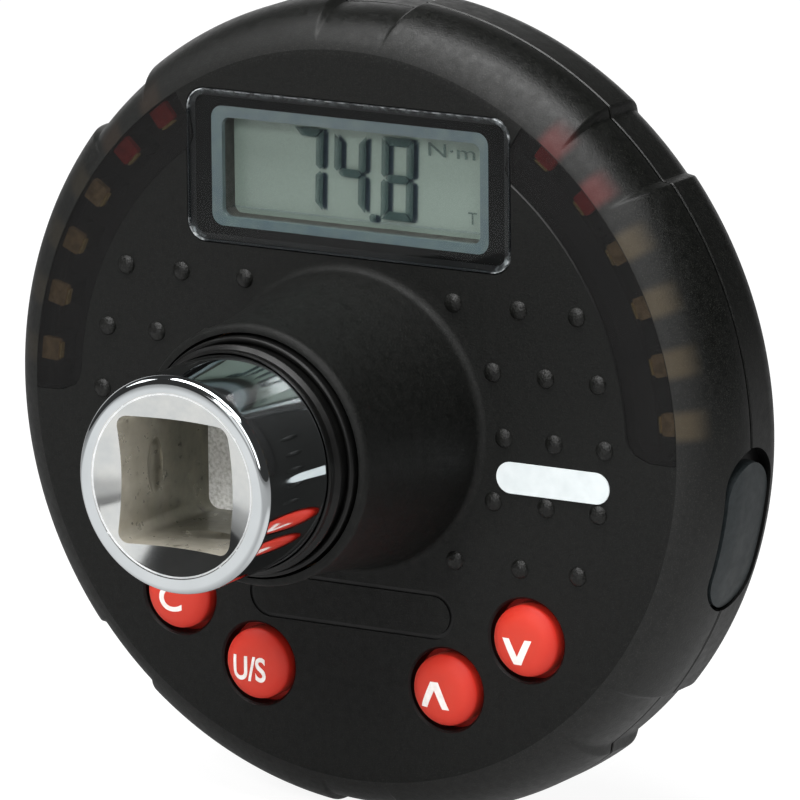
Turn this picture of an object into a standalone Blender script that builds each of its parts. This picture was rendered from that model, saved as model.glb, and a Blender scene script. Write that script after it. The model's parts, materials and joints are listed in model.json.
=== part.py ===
"""Digital torque and angle gauge for a half-inch square drive.

The gauge is drawn lying on its back: x runs to the reader's right, y up the face and z out
of the display, from the plane of the flat face. The empty gauge_frame then turns it upright,
so that the display looks along -Y and the end of the drive square is centred on the origin.
"""
import math

import bmesh
import bpy
from mathutils import Matrix

# Drive shaft
DRIVE_SQUARE = 0.0127
SQUARE_PLAY = 0.00005
SQUARE_CORNER = 0.0012
SQUARE_LENGTH = 0.0151
SQUARE_END_CHAMFER = 0.0012
SOCKET_DIAMETER = 0.0218
SOCKET_REACH = 0.0334
SOCKET_DEPTH = 0.0170
SOCKET_EDGE = 0.0008
MOUTH_DIAMETER = 0.01816
MOUTH_DEPTH = 0.0010
DETENT_WIDTH = 0.0056
DETENT_HEIGHT = 0.0026
DETENT_SINK = 0.0006
DETENT_DEPTH = 0.0072
BARREL_END = 0.0025
TORSION_DIAMETER = 0.0150
TORSION_END = 0.0065
NECK_DIAMETER = 0.0172
SHOULDER = 0.0011
NECK_LAND = 0.0004
BALL_DIAMETER = 0.0047
BALL_PROUD = 0.0010
BALL_FROM_END = 0.0079
BALL_BORE_FLOOR = -0.0026
SPRING_WIRE = 0.00045
SPRING_TURNS = 4

# Housing
FACE_MARGIN = 0.0002
RIM_WIDTH = 0.0045
HOUSING_DEPTH = 0.0150
PARTING_DEPTH = 0.0072
RIM_ARC_DEPTH = 0.0070
REAR_ROUND = 0.0040
WALL = 0.0020
TONGUE_WIDTH = 0.0012
TONGUE_HEIGHT = 0.0012
RECESS_DEPTH = 0.00075
RECESS_START = 0.00015
RECESS_ANGLE = math.radians(11.4)
RECESS_FLARE = math.radians(2.6)
RECESS_PLACES = [math.radians(a) for a in (45, 90, 135, 225, 270, 315)]

# Boss round the socket
BOSS_HEIGHT = 0.0187
BOSS_END_DIAMETER = 0.0266
BOSS_BASE_DIAMETER = 0.0303
BOSS_EDGE = 0.0008
BOSS_FILLET = 0.0009
BOSS_BORE = 0.0254
REAR_BOSS_DIAMETER = 0.0244
REAR_BOSS_HEIGHT = 0.0016
REAR_BOSS_EDGE = 0.0005
REAR_TUBE_DEPTH = 0.0089

# Seals, bushes and the retaining ring
SEAL_DIAMETER = 0.0242
SEAL_DEPTH = 0.0044
SEAL_RIDGE = 0.0008
SEAL_LIP_WIDTH = 0.00035
SEAL_LIP_REACH = 0.0033
BUSH_LENGTH = 0.0075
REAR_BUSH_LENGTH = 0.0044
REAR_BUSH_WALL = 0.0010
REAR_SEAL_LENGTH = 0.0019
CLIP_THICKNESS = 0.0010
CLIP_WIDTH = 0.0021
CLIP_GROOVE = 0.0008
CLIP_OPENING = math.radians(38)
CLIP_EAR_DIAMETER = 0.0034
CLIP_EAR_HOLE = 0.0012
CLIP_EAR_SET_BACK = math.radians(6)

# Display
WINDOW_WIDTH = 0.0375
WINDOW_HEIGHT = 0.0156
WINDOW_CORNER = 0.0020
WINDOW_ABOVE_BOSS = 0.0015
WINDOW_THICKNESS = 0.0013
WINDOW_PROUD = 0.0001
WINDOW_GAP = 0.00015
LEDGE_WIDTH = 0.0022
LEDGE_HEIGHT = 0.0018
OPENING_CORNER = 0.0008
LCD_WIDTH = 0.0355
LCD_HEIGHT = 0.0142
LCD_THICKNESS = 0.0017
HOLDER_WIDTH = 0.0370
HOLDER_HEIGHT = 0.0150
HOLDER_THICKNESS = 0.0018
HOLDER_FRAME = 0.0024
HOLDER_CORNER = 0.0010

# Buttons on the face
BUTTON_INSET = 0.0086
BUTTON_PLACES = {
    "button_clear": math.radians(225),
    "button_unit": math.radians(247.5),
    "button_up": math.radians(292.5),
    "button_down": math.radians(315),
}
BUTTON_DIAMETER = 0.0073
BUTTON_CROWN = 0.0011
BUTTON_EDGE = 0.0001
BUTTON_WELL = 0.0085
BUTTON_FLANGE = 0.0098
BUTTON_FLANGE_THICKNESS = 0.0008
BUTTON_STEM = 0.0030
BUTTON_STEM_LENGTH = 0.0009
BUTTON_TRAVEL = 0.0006
BUTTON_CROWN_SHARES = (0.5, 0.8, 1.0)
SWITCH_WIDTH = 0.0045
SWITCH_PLUNGER = 0.0024
SWITCH_BODY_SHARE = 0.6
SWITCH_PLAY = 0.0001

# Raised dots on the face
BUMP_FROM_BOSS = 0.00281
BUMP_CIRCLE_PITCH = 0.005745
BUMP_CIRCLE_COUNT = 3
BUMP_ROW_PITCH = 0.00659
BUMP_ROWS = (-2, -1, 0, 1, 2)
BUMP_DIAMETER = 0.0021
BUMP_HEIGHT = 0.0005

# Lights under the rim
LIGHT_INSET = 0.00095
LIGHT_ANGLES = [math.radians(a) for a in (5, 14.4, 23.8, 33.2, 42.6, 52)]
LIGHT_LENGTH = 0.0026
LIGHT_WIDTH = 0.0026
LIGHT_HEIGHT = 0.0032
BAR_WALL = 0.0005
BAR_OUTSIDE = 0.00075
BAR_HEIGHT = 0.0022
BAR_MARGIN = math.radians(3.2)

# Board and the parts on it
BOARD_INSET = 0.0044
BOARD_BORE = 0.0290
BOARD_THICKNESS = 0.0010
PILLAR_DIAMETER = 0.0052
PILLAR_GAP = 0.00015
PILLAR_PLACES = [math.radians(a) for a in (90, 210, 270, 330)]
BUZZER_DIAMETER = 0.0090
BUZZER_HEIGHT = 0.0026
BUZZER_HOLE = 0.0011
BUZZER_PLACE = (0.0, -0.0255)
SENSOR_CHIP = 0.0040
SENSOR_THICKNESS = 0.0010
SENSOR_PLACE = (-0.0230, -0.0040)
FLEX_WIDTH = 0.0050
FLEX_THICKNESS = 0.00025
FLEX_LAP = 0.00075
FLEX_LANDING = 0.0040
FLEX_STEP = 0.0006
GAUGE_LENGTH = 0.0050
GAUGE_THICKNESS = 0.0004
GAUGE_SPREAD = math.radians(70)

# Case screws
SCREW_DIAMETER = 0.0020
SCREW_HEAD = 0.0040
SCREW_HEAD_HEIGHT = 0.0014
SCREW_SINK = 0.0006
SCREW_BITE = 0.0030
SCREW_HEAD_EDGE = 0.0005
SCREW_CROSS = 0.0005
SCREW_CROSS_LENGTH = 0.0025
SCREW_CROSS_DEPTH = 0.0008

# Cells and their covers
CELL_DIAMETER = 0.0200
CELL_THICKNESS = 0.0032
CELL_EDGE = 0.0003
CELL_RIM = 0.0012
CELL_MARGIN = 0.0012
CELL_PLACES = {"right": math.radians(30), "left": math.radians(150)}
CONTACT_RISE = 0.0012
CONTACT_THICKNESS = 0.0003
CONTACT_INNER_DIAMETER = 0.0060
CONTACT_OUTER_DIAMETER = 0.0124
CUP_WALL = 0.0008
COVER_LIP = 0.0012
COVER_FACE = 0.0010
COVER_SLOT_WIDTH = 0.0018
COVER_SLOT_DEPTH = 0.0007
COVER_SLOT_LENGTH = 0.0150
COVER_SEAL = 0.0005

# Port in the right side of the rim
PORT_PLACE = math.radians(347.5)
POCKET_LENGTH = 0.0163
POCKET_WIDTH = 0.0085
POCKET_CENTRE = -0.00725
POCKET_SINK = 0.0013
PLUG_GAP = 0.00015
PLUG_SINK = 0.0001
PLUG_TONGUE_LENGTH = 0.0080
PLUG_TONGUE_WIDTH = 0.0024
PLUG_TONGUE_REACH = 0.0018
PORT_LENGTH = 0.0089
PORT_WIDTH = 0.0032
PORT_DEPTH = 0.0073
PORT_SHELL = 0.0003
PORT_BACK = 0.0010
PORT_NOTCH_WIDTH = 0.0072

# Blank label between the rows of dots
LABEL_LENGTH = 0.0129
LABEL_WIDTH = 0.0032
LABEL_THICKNESS = 0.00015
LABEL_FROM_BOSS = 0.0020
LABEL_DROP = 0.0039

# Clearances and facets
GAP = 0.0003
SKIN = 0.00005
MERGE = 0.00001
RIM_STEPS = 48
SHAFT_STEPS = 32
RING_STEPS = 24
BUTTON_STEPS = 16
SMALL_STEPS = 12
OVERCUT = 0.0010
SOFT_EDGE = 0.0002

# Heights worked out from the sizes above, from the face plane
BOSS_BASE_RADIUS = BOSS_BASE_DIAMETER / 2
WINDOW_CENTRE = BOSS_BASE_RADIUS + WINDOW_ABOVE_BOSS + WINDOW_HEIGHT / 2
WINDOW_TOP = WINDOW_CENTRE + WINDOW_HEIGHT / 2
PILLAR_CIRCLE = WINDOW_TOP + PILLAR_GAP + PILLAR_DIAMETER / 2
CUP_RADIUS = CELL_DIAMETER / 2 + GAP
COVER_RADIUS = CUP_RADIUS + COVER_LIP
CELL_CIRCLE = REAR_BOSS_DIAMETER / 2 + CELL_MARGIN + COVER_RADIUS + GAP
FACE_RADIUS = max(
    math.hypot(WINDOW_WIDTH / 2, WINDOW_TOP) + FACE_MARGIN,
    CELL_CIRCLE + COVER_RADIUS + GAP + REAR_ROUND - RIM_WIDTH,
)
HOUSING_RADIUS = FACE_RADIUS + RIM_WIDTH
BUTTON_CIRCLE = FACE_RADIUS - BUTTON_INSET
LIGHT_CIRCLE = FACE_RADIUS - LIGHT_INSET
BOARD_RADIUS = HOUSING_RADIUS - BOARD_INSET
SOCKET_RADIUS = SOCKET_DIAMETER / 2
NECK_RADIUS = NECK_DIAMETER / 2
LCD_TOP = -WALL - GAP
LCD_BOTTOM = LCD_TOP - LCD_THICKNESS
HOLDER_TOP = LCD_BOTTOM - GAP
HOLDER_BOTTOM = HOLDER_TOP - HOLDER_THICKNESS
BOARD_TOP = HOLDER_BOTTOM - GAP
BOARD_BOTTOM = BOARD_TOP - BOARD_THICKNESS
BACK = -HOUSING_DEPTH
REAR_BOSS_END = BACK - REAR_BOSS_HEIGHT
CLIP_TOP = REAR_BOSS_END - GAP
CLIP_BOTTOM = CLIP_TOP - CLIP_THICKNESS
SQUARE_START = CLIP_BOTTOM - NECK_LAND
TAIL_END = SQUARE_START - SQUARE_LENGTH
SOCKET_FLOOR = SOCKET_REACH - SOCKET_DEPTH
CONTACT_TOP = BOARD_BOTTOM - GAP
CELL_TOP = CONTACT_TOP - CONTACT_RISE - GAP
CELL_BOTTOM = CELL_TOP - CELL_THICKNESS
COVER_TOP = CELL_BOTTOM - GAP
COVER_SEAT = BACK + COVER_FACE
REAR_SEAL_TOP = REAR_BOSS_END + REAR_SEAL_LENGTH
REAR_BORE_RADIUS = NECK_RADIUS + REAR_BUSH_WALL + 2 * GAP

objects = bpy.data.objects
for old in list(objects):
    objects.remove(old, do_unlink=True)

parts = bpy.data.collections.new("torque_angle_gauge")
shapes = bpy.data.collections.new("cutters_and_joined_shapes")
bpy.context.scene.collection.children.link(parts)
bpy.context.scene.collection.children.link(shapes)

gauge_frame = objects.new("gauge_frame", None)
gauge_frame.rotation_euler = (math.pi / 2, 0, 0)
gauge_frame.location = (0, TAIL_END, 0)
parts.objects.link(gauge_frame)


def material(name, colour, roughness, metallic=0.0, alpha=1.0):
    """A plain Principled finish."""
    made = bpy.data.materials.new(name)
    made.use_nodes = True
    shader = made.node_tree.nodes["Principled BSDF"]
    shader.inputs["Base Color"].default_value = (*colour, 1)
    shader.inputs["Roughness"].default_value = roughness
    shader.inputs["Metallic"].default_value = metallic
    shader.inputs["Alpha"].default_value = alpha
    made.diffuse_color = (*colour, alpha)
    return made


BLACK_SHELL = material("smoked_black_shell", (0.022, 0.022, 0.020), 0.45)
BLACK_PLASTIC = material("black_plastic", (0.020, 0.020, 0.020), 0.50)
BLACK_RUBBER = material("black_rubber", (0.015, 0.015, 0.015), 0.70)
RED_SILICONE = material("red_silicone", (0.694, 0.053, 0.028), 0.45)
CHROME = material("polished_chrome", (0.80, 0.80, 0.80), 0.08, 1.0)
STEEL = material("bright_steel", (0.62, 0.62, 0.60), 0.25, 1.0)
BRASS = material("gold_plated_contact", (0.75, 0.55, 0.20), 0.30, 1.0)
BRONZE = material("sintered_bronze", (0.45, 0.28, 0.13), 0.45, 1.0)
CLEAR = material("clear_acrylic", (0.90, 0.92, 0.92), 0.05, 0.0, 0.25)
LCD_GREY = material("display_grey", (0.24, 0.29, 0.27), 0.35)
BOARD_GREEN = material("circuit_board_green", (0.02, 0.16, 0.07), 0.50)
FLEX_AMBER = material("amber_flex_film", (0.55, 0.25, 0.04), 0.35)
RED_LIGHT = material("red_light_lens", (0.75, 0.06, 0.04), 0.25)
AMBER_LIGHT = material("amber_light_lens", (0.80, 0.48, 0.20), 0.25)
GREY_PLUG = material("grey_soft_plug", (0.18, 0.21, 0.22), 0.60)
WHITE_FILM = material("white_label_film", (0.80, 0.80, 0.78), 0.55)


def add_object(name, mesh, finish=None):
    """A part with its finish or, without one, a guide shape that never shows."""
    made = objects.new(name, mesh)
    made.parent = gauge_frame
    if finish is None:
        shapes.objects.link(made)
        made.hide_render = True
        made.display_type = "WIRE"
    else:
        parts.objects.link(made)
        mesh.materials.append(finish)
    return made


def from_bmesh(name, bm, finish=None):
    """An object from a bmesh, which is freed."""
    mesh = bpy.data.meshes.new(name)
    bm.to_mesh(mesh)
    bm.free()
    return add_object(name, mesh, finish)


def screw_turn(obj, steps):
    """Turns the object's profile about its own z axis."""
    turn = obj.modifiers.new("turn", "SCREW")
    turn.axis = "Z"
    turn.angle = math.tau
    turn.steps = steps
    turn.render_steps = steps
    turn.use_merge_vertices = True
    turn.merge_threshold = MERGE
    turn.use_smooth_shade = True


def turned(name, profile, steps, finish=None, ring=True, centre=(0, 0)):
    """A profile of (radius, z) points, run down the outer side, turned about z.

    A ring is closed across its bore. Otherwise the profile starts and ends on the axis.
    """
    bm = bmesh.new()
    points = [bm.verts.new((radius, 0, z)) for radius, z in profile]
    for first, second in zip(points, points[1:]):
        bm.edges.new((first, second))
    if ring:
        bm.edges.new((points[-1], points[0]))
    obj = from_bmesh(name, bm, finish)
    screw_turn(obj, steps)
    obj.location = (centre[0], centre[1], 0)
    return obj


def ring_of(name, inner, outer, top, bottom, steps, finish=None, centre=(0, 0)):
    """A plain ring."""
    profile = [(inner, top), (outer, top), (outer, bottom), (inner, bottom)]
    return turned(name, profile, steps, finish, True, centre)


def rod(name, radius, top, bottom, steps, finish=None, centre=(0, 0)):
    """A plain round rod along z."""
    bm = bmesh.new()
    bmesh.ops.create_cone(
        bm, cap_ends=True, segments=steps, radius1=radius, radius2=radius, depth=top - bottom
    )
    bmesh.ops.translate(bm, verts=bm.verts, vec=(centre[0], centre[1], (top + bottom) / 2))
    return from_bmesh(name, bm, finish)


def rods(name, radius, top, bottom, steps, centres):
    """Several equal rods as one guide shape."""
    bm = bmesh.new()
    for centre in centres:
        made = bmesh.ops.create_cone(
            bm, cap_ends=True, segments=steps, radius1=radius, radius2=radius, depth=top - bottom
        )
        shift = (centre[0], centre[1], (top + bottom) / 2)
        bmesh.ops.translate(bm, verts=made["verts"], vec=shift)
    return from_bmesh(name, bm)


def block(name, size, centre, finish=None, edge=0.0):
    """A box, with its edges rounded where edge is given."""
    bm = bmesh.new()
    bmesh.ops.create_cube(bm, size=1.0)
    bmesh.ops.scale(bm, verts=bm.verts, vec=size)
    bmesh.ops.translate(bm, verts=bm.verts, vec=centre)
    obj = from_bmesh(name, bm, finish)
    if edge:
        bevel = obj.modifiers.new("soft edges", "BEVEL")
        bevel.width = edge
        bevel.segments = 1
    return obj


def circle_points(radius, steps, centre=(0, 0)):
    """Points round a circle."""
    turns = [math.tau * i / steps for i in range(steps)]
    return [(centre[0] + radius * math.cos(a), centre[1] + radius * math.sin(a)) for a in turns]


def rounded_rectangle(width, height, corner, centre=(0, 0), steps=4):
    """The outline of a rectangle with round corners."""
    points = []
    for quarter, (sx, sy) in enumerate(((1, 1), (-1, 1), (-1, -1), (1, -1))):
        middle_x = centre[0] + sx * (width / 2 - corner)
        middle_y = centre[1] + sy * (height / 2 - corner)
        for i in range(steps + 1):
            angle = math.pi / 2 * (quarter + i / steps)
            points.append((middle_x + corner * math.cos(angle), middle_y + corner * math.sin(angle)))
    return points


def plate(name, outlines, top, bottom, finish=None):
    """A flat outline, with any holes, given its thickness."""
    curve = bpy.data.curves.new(name, "CURVE")
    curve.dimensions = "2D"
    curve.fill_mode = "BOTH"
    curve.extrude = (top - bottom) / 2
    for outline in outlines:
        spline = curve.splines.new("POLY")
        spline.points.add(len(outline) - 1)
        for point, (x, y) in zip(spline.points, outline):
            point.co = (x, y, 0, 1)
        spline.use_cyclic_u = True
    return meshed_curve(name, curve, finish, Matrix.Translation((0, 0, (top + bottom) / 2)))


def meshed_curve(name, curve, finish, placing):
    """Turns a curve into a closed mesh object and removes the curve."""
    drawn = objects.new(name, curve)
    bpy.context.scene.collection.objects.link(drawn)
    drawn_now = drawn.evaluated_get(bpy.context.evaluated_depsgraph_get())
    mesh = bpy.data.meshes.new_from_object(drawn_now)
    objects.remove(drawn, do_unlink=True)
    bpy.data.curves.remove(curve)
    bm = bmesh.new()
    bm.from_mesh(mesh)
    bmesh.ops.remove_doubles(bm, verts=bm.verts, dist=MERGE)
    bmesh.ops.dissolve_degenerate(bm, edges=bm.edges, dist=MERGE)
    bmesh.ops.transform(bm, matrix=placing, verts=bm.verts)
    bmesh.ops.recalc_face_normals(bm, faces=bm.faces)
    bpy.data.meshes.remove(mesh)
    return from_bmesh(name, bm, finish)


def sector(name, section, start, end, steps, finish=None):
    """A closed (radius, z) section swept round z from one angle to another."""
    bm = bmesh.new()
    corners = [bm.verts.new((radius, 0, z)) for radius, z in section]
    face = bm.faces.new(corners)
    bmesh.ops.rotate(bm, verts=bm.verts, matrix=Matrix.Rotation(start, 3, "Z"))
    bmesh.ops.triangulate(bm, faces=[face])
    bmesh.ops.spin(
        bm, geom=bm.faces[:] + bm.edges[:] + bm.verts[:], axis=(0, 0, 1), cent=(0, 0, 0),
        angle=end - start, steps=steps, use_duplicate=False,
    )
    bmesh.ops.recalc_face_normals(bm, faces=bm.faces)
    return from_bmesh(name, bm, finish)


def combine(obj, operation, *others):
    """Cuts, joins or intersects an object with guide shapes, in turn."""
    for other in others:
        step = obj.modifiers.new(operation.lower(), "BOOLEAN")
        step.operation = operation
        step.solver = "EXACT"
        step.object = other


def cut(obj, *others):
    """Cuts the others away."""
    combine(obj, "DIFFERENCE", *others)


def join(obj, *others):
    """Joins the others on."""
    combine(obj, "UNION", *others)


def keep_inside(obj, *others):
    """Keeps only what lies inside the others."""
    combine(obj, "INTERSECT", *others)


def on_circle(radius, angle):
    """A point of the face at a radius and an angle."""
    return (radius * math.cos(angle), radius * math.sin(angle))


def face_radially(obj, angle):
    """Turns an object so that its z points outwards and its x runs round the rim."""
    obj.rotation_euler = (math.pi / 2, 0, angle + math.pi / 2)


def arc_points(centre_radius, centre_z, radius, start, end, steps):
    """Points of an arc in the (radius, z) plane."""
    angles = [start + (end - start) * i / steps for i in range(steps + 1)]
    return [(centre_radius + radius * math.cos(a), centre_z + radius * math.sin(a)) for a in angles]


def rim_outline(inset=0.0, steps=4):
    """The rim from the face to the back, as (radius, z) points, moved inwards by inset."""
    rise = HOUSING_RADIUS - FACE_RADIUS
    front_radius = (rise ** 2 + RIM_ARC_DEPTH ** 2) / (2 * rise)
    start = math.asin((RIM_ARC_DEPTH - inset) / (front_radius - inset))
    front = arc_points(
        HOUSING_RADIUS - front_radius, -RIM_ARC_DEPTH, front_radius - inset, start, 0, steps
    )
    rear = arc_points(
        HOUSING_RADIUS - REAR_ROUND, BACK + REAR_ROUND, REAR_ROUND - inset, 0, -math.pi / 2, 3
    )
    return front + rear


def between(outline, top, bottom):
    """The stretch of an outline between two heights, with its ends worked out."""
    stretch = []
    for (radius, z), (next_radius, next_z) in zip(outline, outline[1:]):
        for level in (top, bottom):
            if next_z < level < z:
                share = (z - level) / (z - next_z)
                stretch.append((radius + share * (next_radius - radius), level))
        if bottom < next_z < top:
            stretch.append((next_radius, next_z))
    return stretch


def boss_profile():
    """The outer side of the boss from its bore edge down to the face."""
    end_radius = BOSS_END_DIAMETER / 2
    edge = arc_points(end_radius - BOSS_EDGE, BOSS_HEIGHT - BOSS_EDGE, BOSS_EDGE, math.pi / 2, 0, 2)
    fillet = arc_points(
        BOSS_BASE_RADIUS + BOSS_FILLET, BOSS_FILLET, BOSS_FILLET, math.pi, 1.5 * math.pi, 2
    )
    return [(SEAL_DIAMETER / 2 + GAP, BOSS_HEIGHT)] + edge + fillet


def recess_cutters(name):
    """The six shallow grips across the rim, deepest at its full diameter."""
    steps = 2
    shallow = FACE_RADIUS + RECESS_START
    deep = HOUSING_RADIUS - RECESS_DEPTH
    floor = []
    for radius, z in rim_outline():
        flat = FACE_RADIUS if z > -RIM_ARC_DEPTH else HOUSING_RADIUS - REAR_ROUND
        first = flat + RECESS_START
        floor.append((first + (radius - flat) * (deep - first) / (HOUSING_RADIUS - flat), z))
    outside = HOUSING_RADIUS + OVERCUT
    section = [(shallow, OVERCUT)] + floor + [(floor[-1][0], BACK - OVERCUT)]
    section += [(outside, BACK - OVERCUT), (outside, OVERCUT)]
    bm = bmesh.new()
    for place in RECESS_PLACES:
        corners = [bm.verts.new((radius, 0, z)) for radius, z in section]
        face = bm.faces.new(corners)
        bmesh.ops.rotate(
            bm, verts=corners, matrix=Matrix.Rotation(place - RECESS_ANGLE / 2, 3, "Z")
        )
        caps = bmesh.ops.triangulate(bm, faces=[face])["faces"]
        edges = {edge for cap in caps for edge in cap.edges}
        bmesh.ops.spin(
            bm, geom=caps + list(edges) + corners, axis=(0, 0, 1), cent=(0, 0, 0),
            angle=RECESS_ANGLE, steps=steps, use_duplicate=False,
        )
    for vert in bm.verts:
        if math.hypot(vert.co.x, vert.co.y) > HOUSING_RADIUS + OVERCUT / 2:
            angle = math.atan2(vert.co.y, vert.co.x)
            nearest = min(RECESS_PLACES, key=lambda a: abs(math.remainder(angle - a, math.tau)))
            away = math.remainder(angle - nearest, math.tau)
            flare = away / (RECESS_ANGLE / 2) * RECESS_FLARE
            bmesh.ops.rotate(bm, verts=[vert], matrix=Matrix.Rotation(flare, 3, "Z"))
    bmesh.ops.recalc_face_normals(bm, faces=bm.faces)
    return from_bmesh(name, bm)


def rim_core(name, inset):
    """A solid disc with the rim's own outline, moved inwards by inset."""
    outline = [(0, -inset)] + rim_outline(inset) + [(0, BACK + inset)]
    return turned(name, outline, RIM_STEPS, None, False)


def make_port_cutter():
    """The pocket for the plug, sunk into the rim, with the opening for the port behind it."""
    reach = HOUSING_RADIUS + OVERCUT
    outline = rounded_rectangle(POCKET_LENGTH, POCKET_WIDTH, POCKET_WIDTH / 2 - SKIN, steps=6)
    pocket = plate("pocket_cutter", [outline], reach, FACE_RADIUS - OVERCUT)
    pocket.location = (0, 0, POCKET_CENTRE)
    face_radially(pocket, PORT_PLACE)
    cut(pocket, rim_core("pocket_floor", POCKET_SINK))
    opening = plate(
        "port_cutter",
        [rounded_rectangle(PORT_LENGTH + 2 * GAP, PORT_WIDTH + 2 * GAP, PORT_WIDTH / 2, steps=4)],
        reach, HOUSING_RADIUS - PORT_DEPTH,
    )
    opening.location = (0, 0, POCKET_CENTRE)
    face_radially(opening, PORT_PLACE)
    join(pocket, opening)
    return pocket


recesses = recess_cutters("recess_cutters")
port_cutter = make_port_cutter()
pillar_centres = [on_circle(PILLAR_CIRCLE, place) for place in PILLAR_PLACES]


def bump_centres():
    """The places of the raised dots, where each row crosses each circle on both sides."""
    centres = []
    for row in BUMP_ROWS:
        y = row * BUMP_ROW_PITCH
        for circle in range(BUMP_CIRCLE_COUNT):
            radius = BOSS_BASE_RADIUS + BUMP_FROM_BOSS + circle * BUMP_CIRCLE_PITCH
            x = math.sqrt(radius ** 2 - y ** 2)
            centres += [(x, y), (-x, y)]
    return centres


def make_front_housing():
    """The front shell: boss, flat face, rim, display pocket, button wells and dots."""
    inner_rim = between(rim_outline(WALL, 2), -WALL - MERGE, -PARTING_DEPTH)
    corner_radius = rim_outline(WALL)[0][0]
    profile = boss_profile() + [(FACE_RADIUS, 0)]
    profile += between(rim_outline(), -MERGE, -PARTING_DEPTH)[1:]
    profile += list(reversed(inner_rim)) + [(corner_radius, -WALL)]
    profile += [(BOSS_BORE / 2, -WALL), (BOSS_BORE / 2, BOSS_HEIGHT - SEAL_DEPTH - GAP)]
    profile += [(SEAL_DIAMETER / 2 + GAP, BOSS_HEIGHT - SEAL_DEPTH - GAP)]
    housing = turned("front_housing", profile, RIM_STEPS, BLACK_SHELL)
    cut(housing, recesses)
    middle = (0, WINDOW_CENTRE)
    pocket = plate(
        "window_pocket",
        [rounded_rectangle(
            WINDOW_WIDTH + 2 * WINDOW_GAP, WINDOW_HEIGHT + 2 * WINDOW_GAP, WINDOW_CORNER, middle
        )],
        OVERCUT, WINDOW_PROUD - WINDOW_THICKNESS - GAP,
    )
    opening = plate(
        "display_opening",
        [rounded_rectangle(
            WINDOW_WIDTH - 2 * LEDGE_WIDTH, WINDOW_HEIGHT - 2 * LEDGE_HEIGHT, OPENING_CORNER, middle
        )],
        OVERCUT, -WALL - OVERCUT,
    )
    cut(housing, pocket, opening)
    button_centres = [on_circle(BUTTON_CIRCLE, place) for place in BUTTON_PLACES.values()]
    cut(housing, rods(
        "button_wells", BUTTON_WELL / 2, OVERCUT, -WALL - OVERCUT, BUTTON_STEPS, button_centres
    ))
    overlap = WALL / 2
    join(housing, rods(
        "front_pillars", PILLAR_DIAMETER / 2, -overlap, -PARTING_DEPTH, SMALL_STEPS, pillar_centres
    ))
    cut(housing, rods(
        "front_screw_holes", SCREW_DIAMETER / 2 + GAP, -PARTING_DEPTH + SCREW_BITE + GAP,
        -PARTING_DEPTH - OVERCUT, SMALL_STEPS, pillar_centres,
    ))
    join(housing, make_bumps())
    cut(housing, port_cutter)
    return housing


def make_bumps():
    """Low domes for the raised dots."""
    bm = bmesh.new()
    flatten = (1, 1, 2 * BUMP_HEIGHT / BUMP_DIAMETER)
    for x, y in bump_centres():
        dome = bmesh.ops.create_uvsphere(
            bm, u_segments=8, v_segments=4, radius=BUMP_DIAMETER / 2
        )["verts"]
        bmesh.ops.scale(bm, verts=dome, vec=flatten)
        bmesh.ops.translate(bm, verts=dome, vec=(x, y, 0))
    return from_bmesh("raised_dots", bm)


def cell_centre(side):
    """The middle of a cell, seen on the face plane."""
    return on_circle(CELL_CIRCLE, CELL_PLACES[side])


def make_rear_housing():
    """The rear shell: rim, back, rear boss and tube, cell cups, pillars and tongue."""
    top = -PARTING_DEPTH - GAP
    tube_radius = REAR_BOSS_DIAMETER / 2
    tongue_outer = HOUSING_RADIUS - WALL - 2 * GAP
    tongue_inner = tongue_outer - TONGUE_WIDTH
    tongue_top = -PARTING_DEPTH + TONGUE_HEIGHT
    outer = rim_outline()
    inner = between(rim_outline(WALL, 2), top, BACK + WALL + MERGE)
    profile = [(tongue_inner, tongue_top), (tongue_outer, tongue_top), (tongue_outer, top)]
    profile += [(HOUSING_RADIUS, top)] + between(outer, top, BACK + MERGE)[1:]
    profile += [(HOUSING_RADIUS - REAR_ROUND, BACK), (tube_radius + REAR_BOSS_EDGE, BACK)]
    profile += [(tube_radius, BACK - REAR_BOSS_EDGE), (tube_radius, REAR_BOSS_END + REAR_BOSS_EDGE)]
    profile += [(tube_radius - REAR_BOSS_EDGE, REAR_BOSS_END), (REAR_BORE_RADIUS, REAR_BOSS_END)]
    profile += [(REAR_BORE_RADIUS, -REAR_TUBE_DEPTH), (tube_radius, -REAR_TUBE_DEPTH)]
    profile += [(tube_radius, BACK + WALL), (HOUSING_RADIUS - REAR_ROUND, BACK + WALL)]
    profile += [(radius, z) for radius, z in reversed(inner) if z < top - WALL and radius > tongue_inner]
    profile += [(tongue_inner, top - WALL)]
    housing = turned("rear_housing", profile, RIM_STEPS, BLACK_SHELL)
    cut(housing, recesses)
    cell_centres = [cell_centre(side) for side in CELL_PLACES]
    join(housing, rods(
        "cell_cups", CUP_RADIUS + CUP_WALL, CELL_TOP, BACK + WALL / 2, RING_STEPS, cell_centres
    ))
    join(housing, rods(
        "rear_pillars", PILLAR_DIAMETER / 2, -PARTING_DEPTH - GAP, BACK + WALL / 2, SMALL_STEPS,
        pillar_centres,
    ))
    cut(housing, rods(
        "cell_wells", CUP_RADIUS, CELL_TOP + OVERCUT, BACK - OVERCUT, RING_STEPS, cell_centres
    ))
    cut(housing, rods(
        "cover_seats", COVER_RADIUS + GAP, COVER_SEAT + GAP, BACK - OVERCUT, RING_STEPS, cell_centres
    ))
    cut(housing, rods(
        "rear_screw_holes", SCREW_DIAMETER / 2 + GAP, -PARTING_DEPTH + OVERCUT, BACK - OVERCUT,
        SMALL_STEPS, pillar_centres,
    ))
    head_seat = BACK + SCREW_SINK + SCREW_HEAD_HEIGHT
    cut(housing, rods(
        "screw_head_wells", SCREW_HEAD / 2 + GAP, head_seat + GAP, BACK - OVERCUT, SMALL_STEPS,
        pillar_centres,
    ))
    cut(housing, port_cutter)
    return housing


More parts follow.
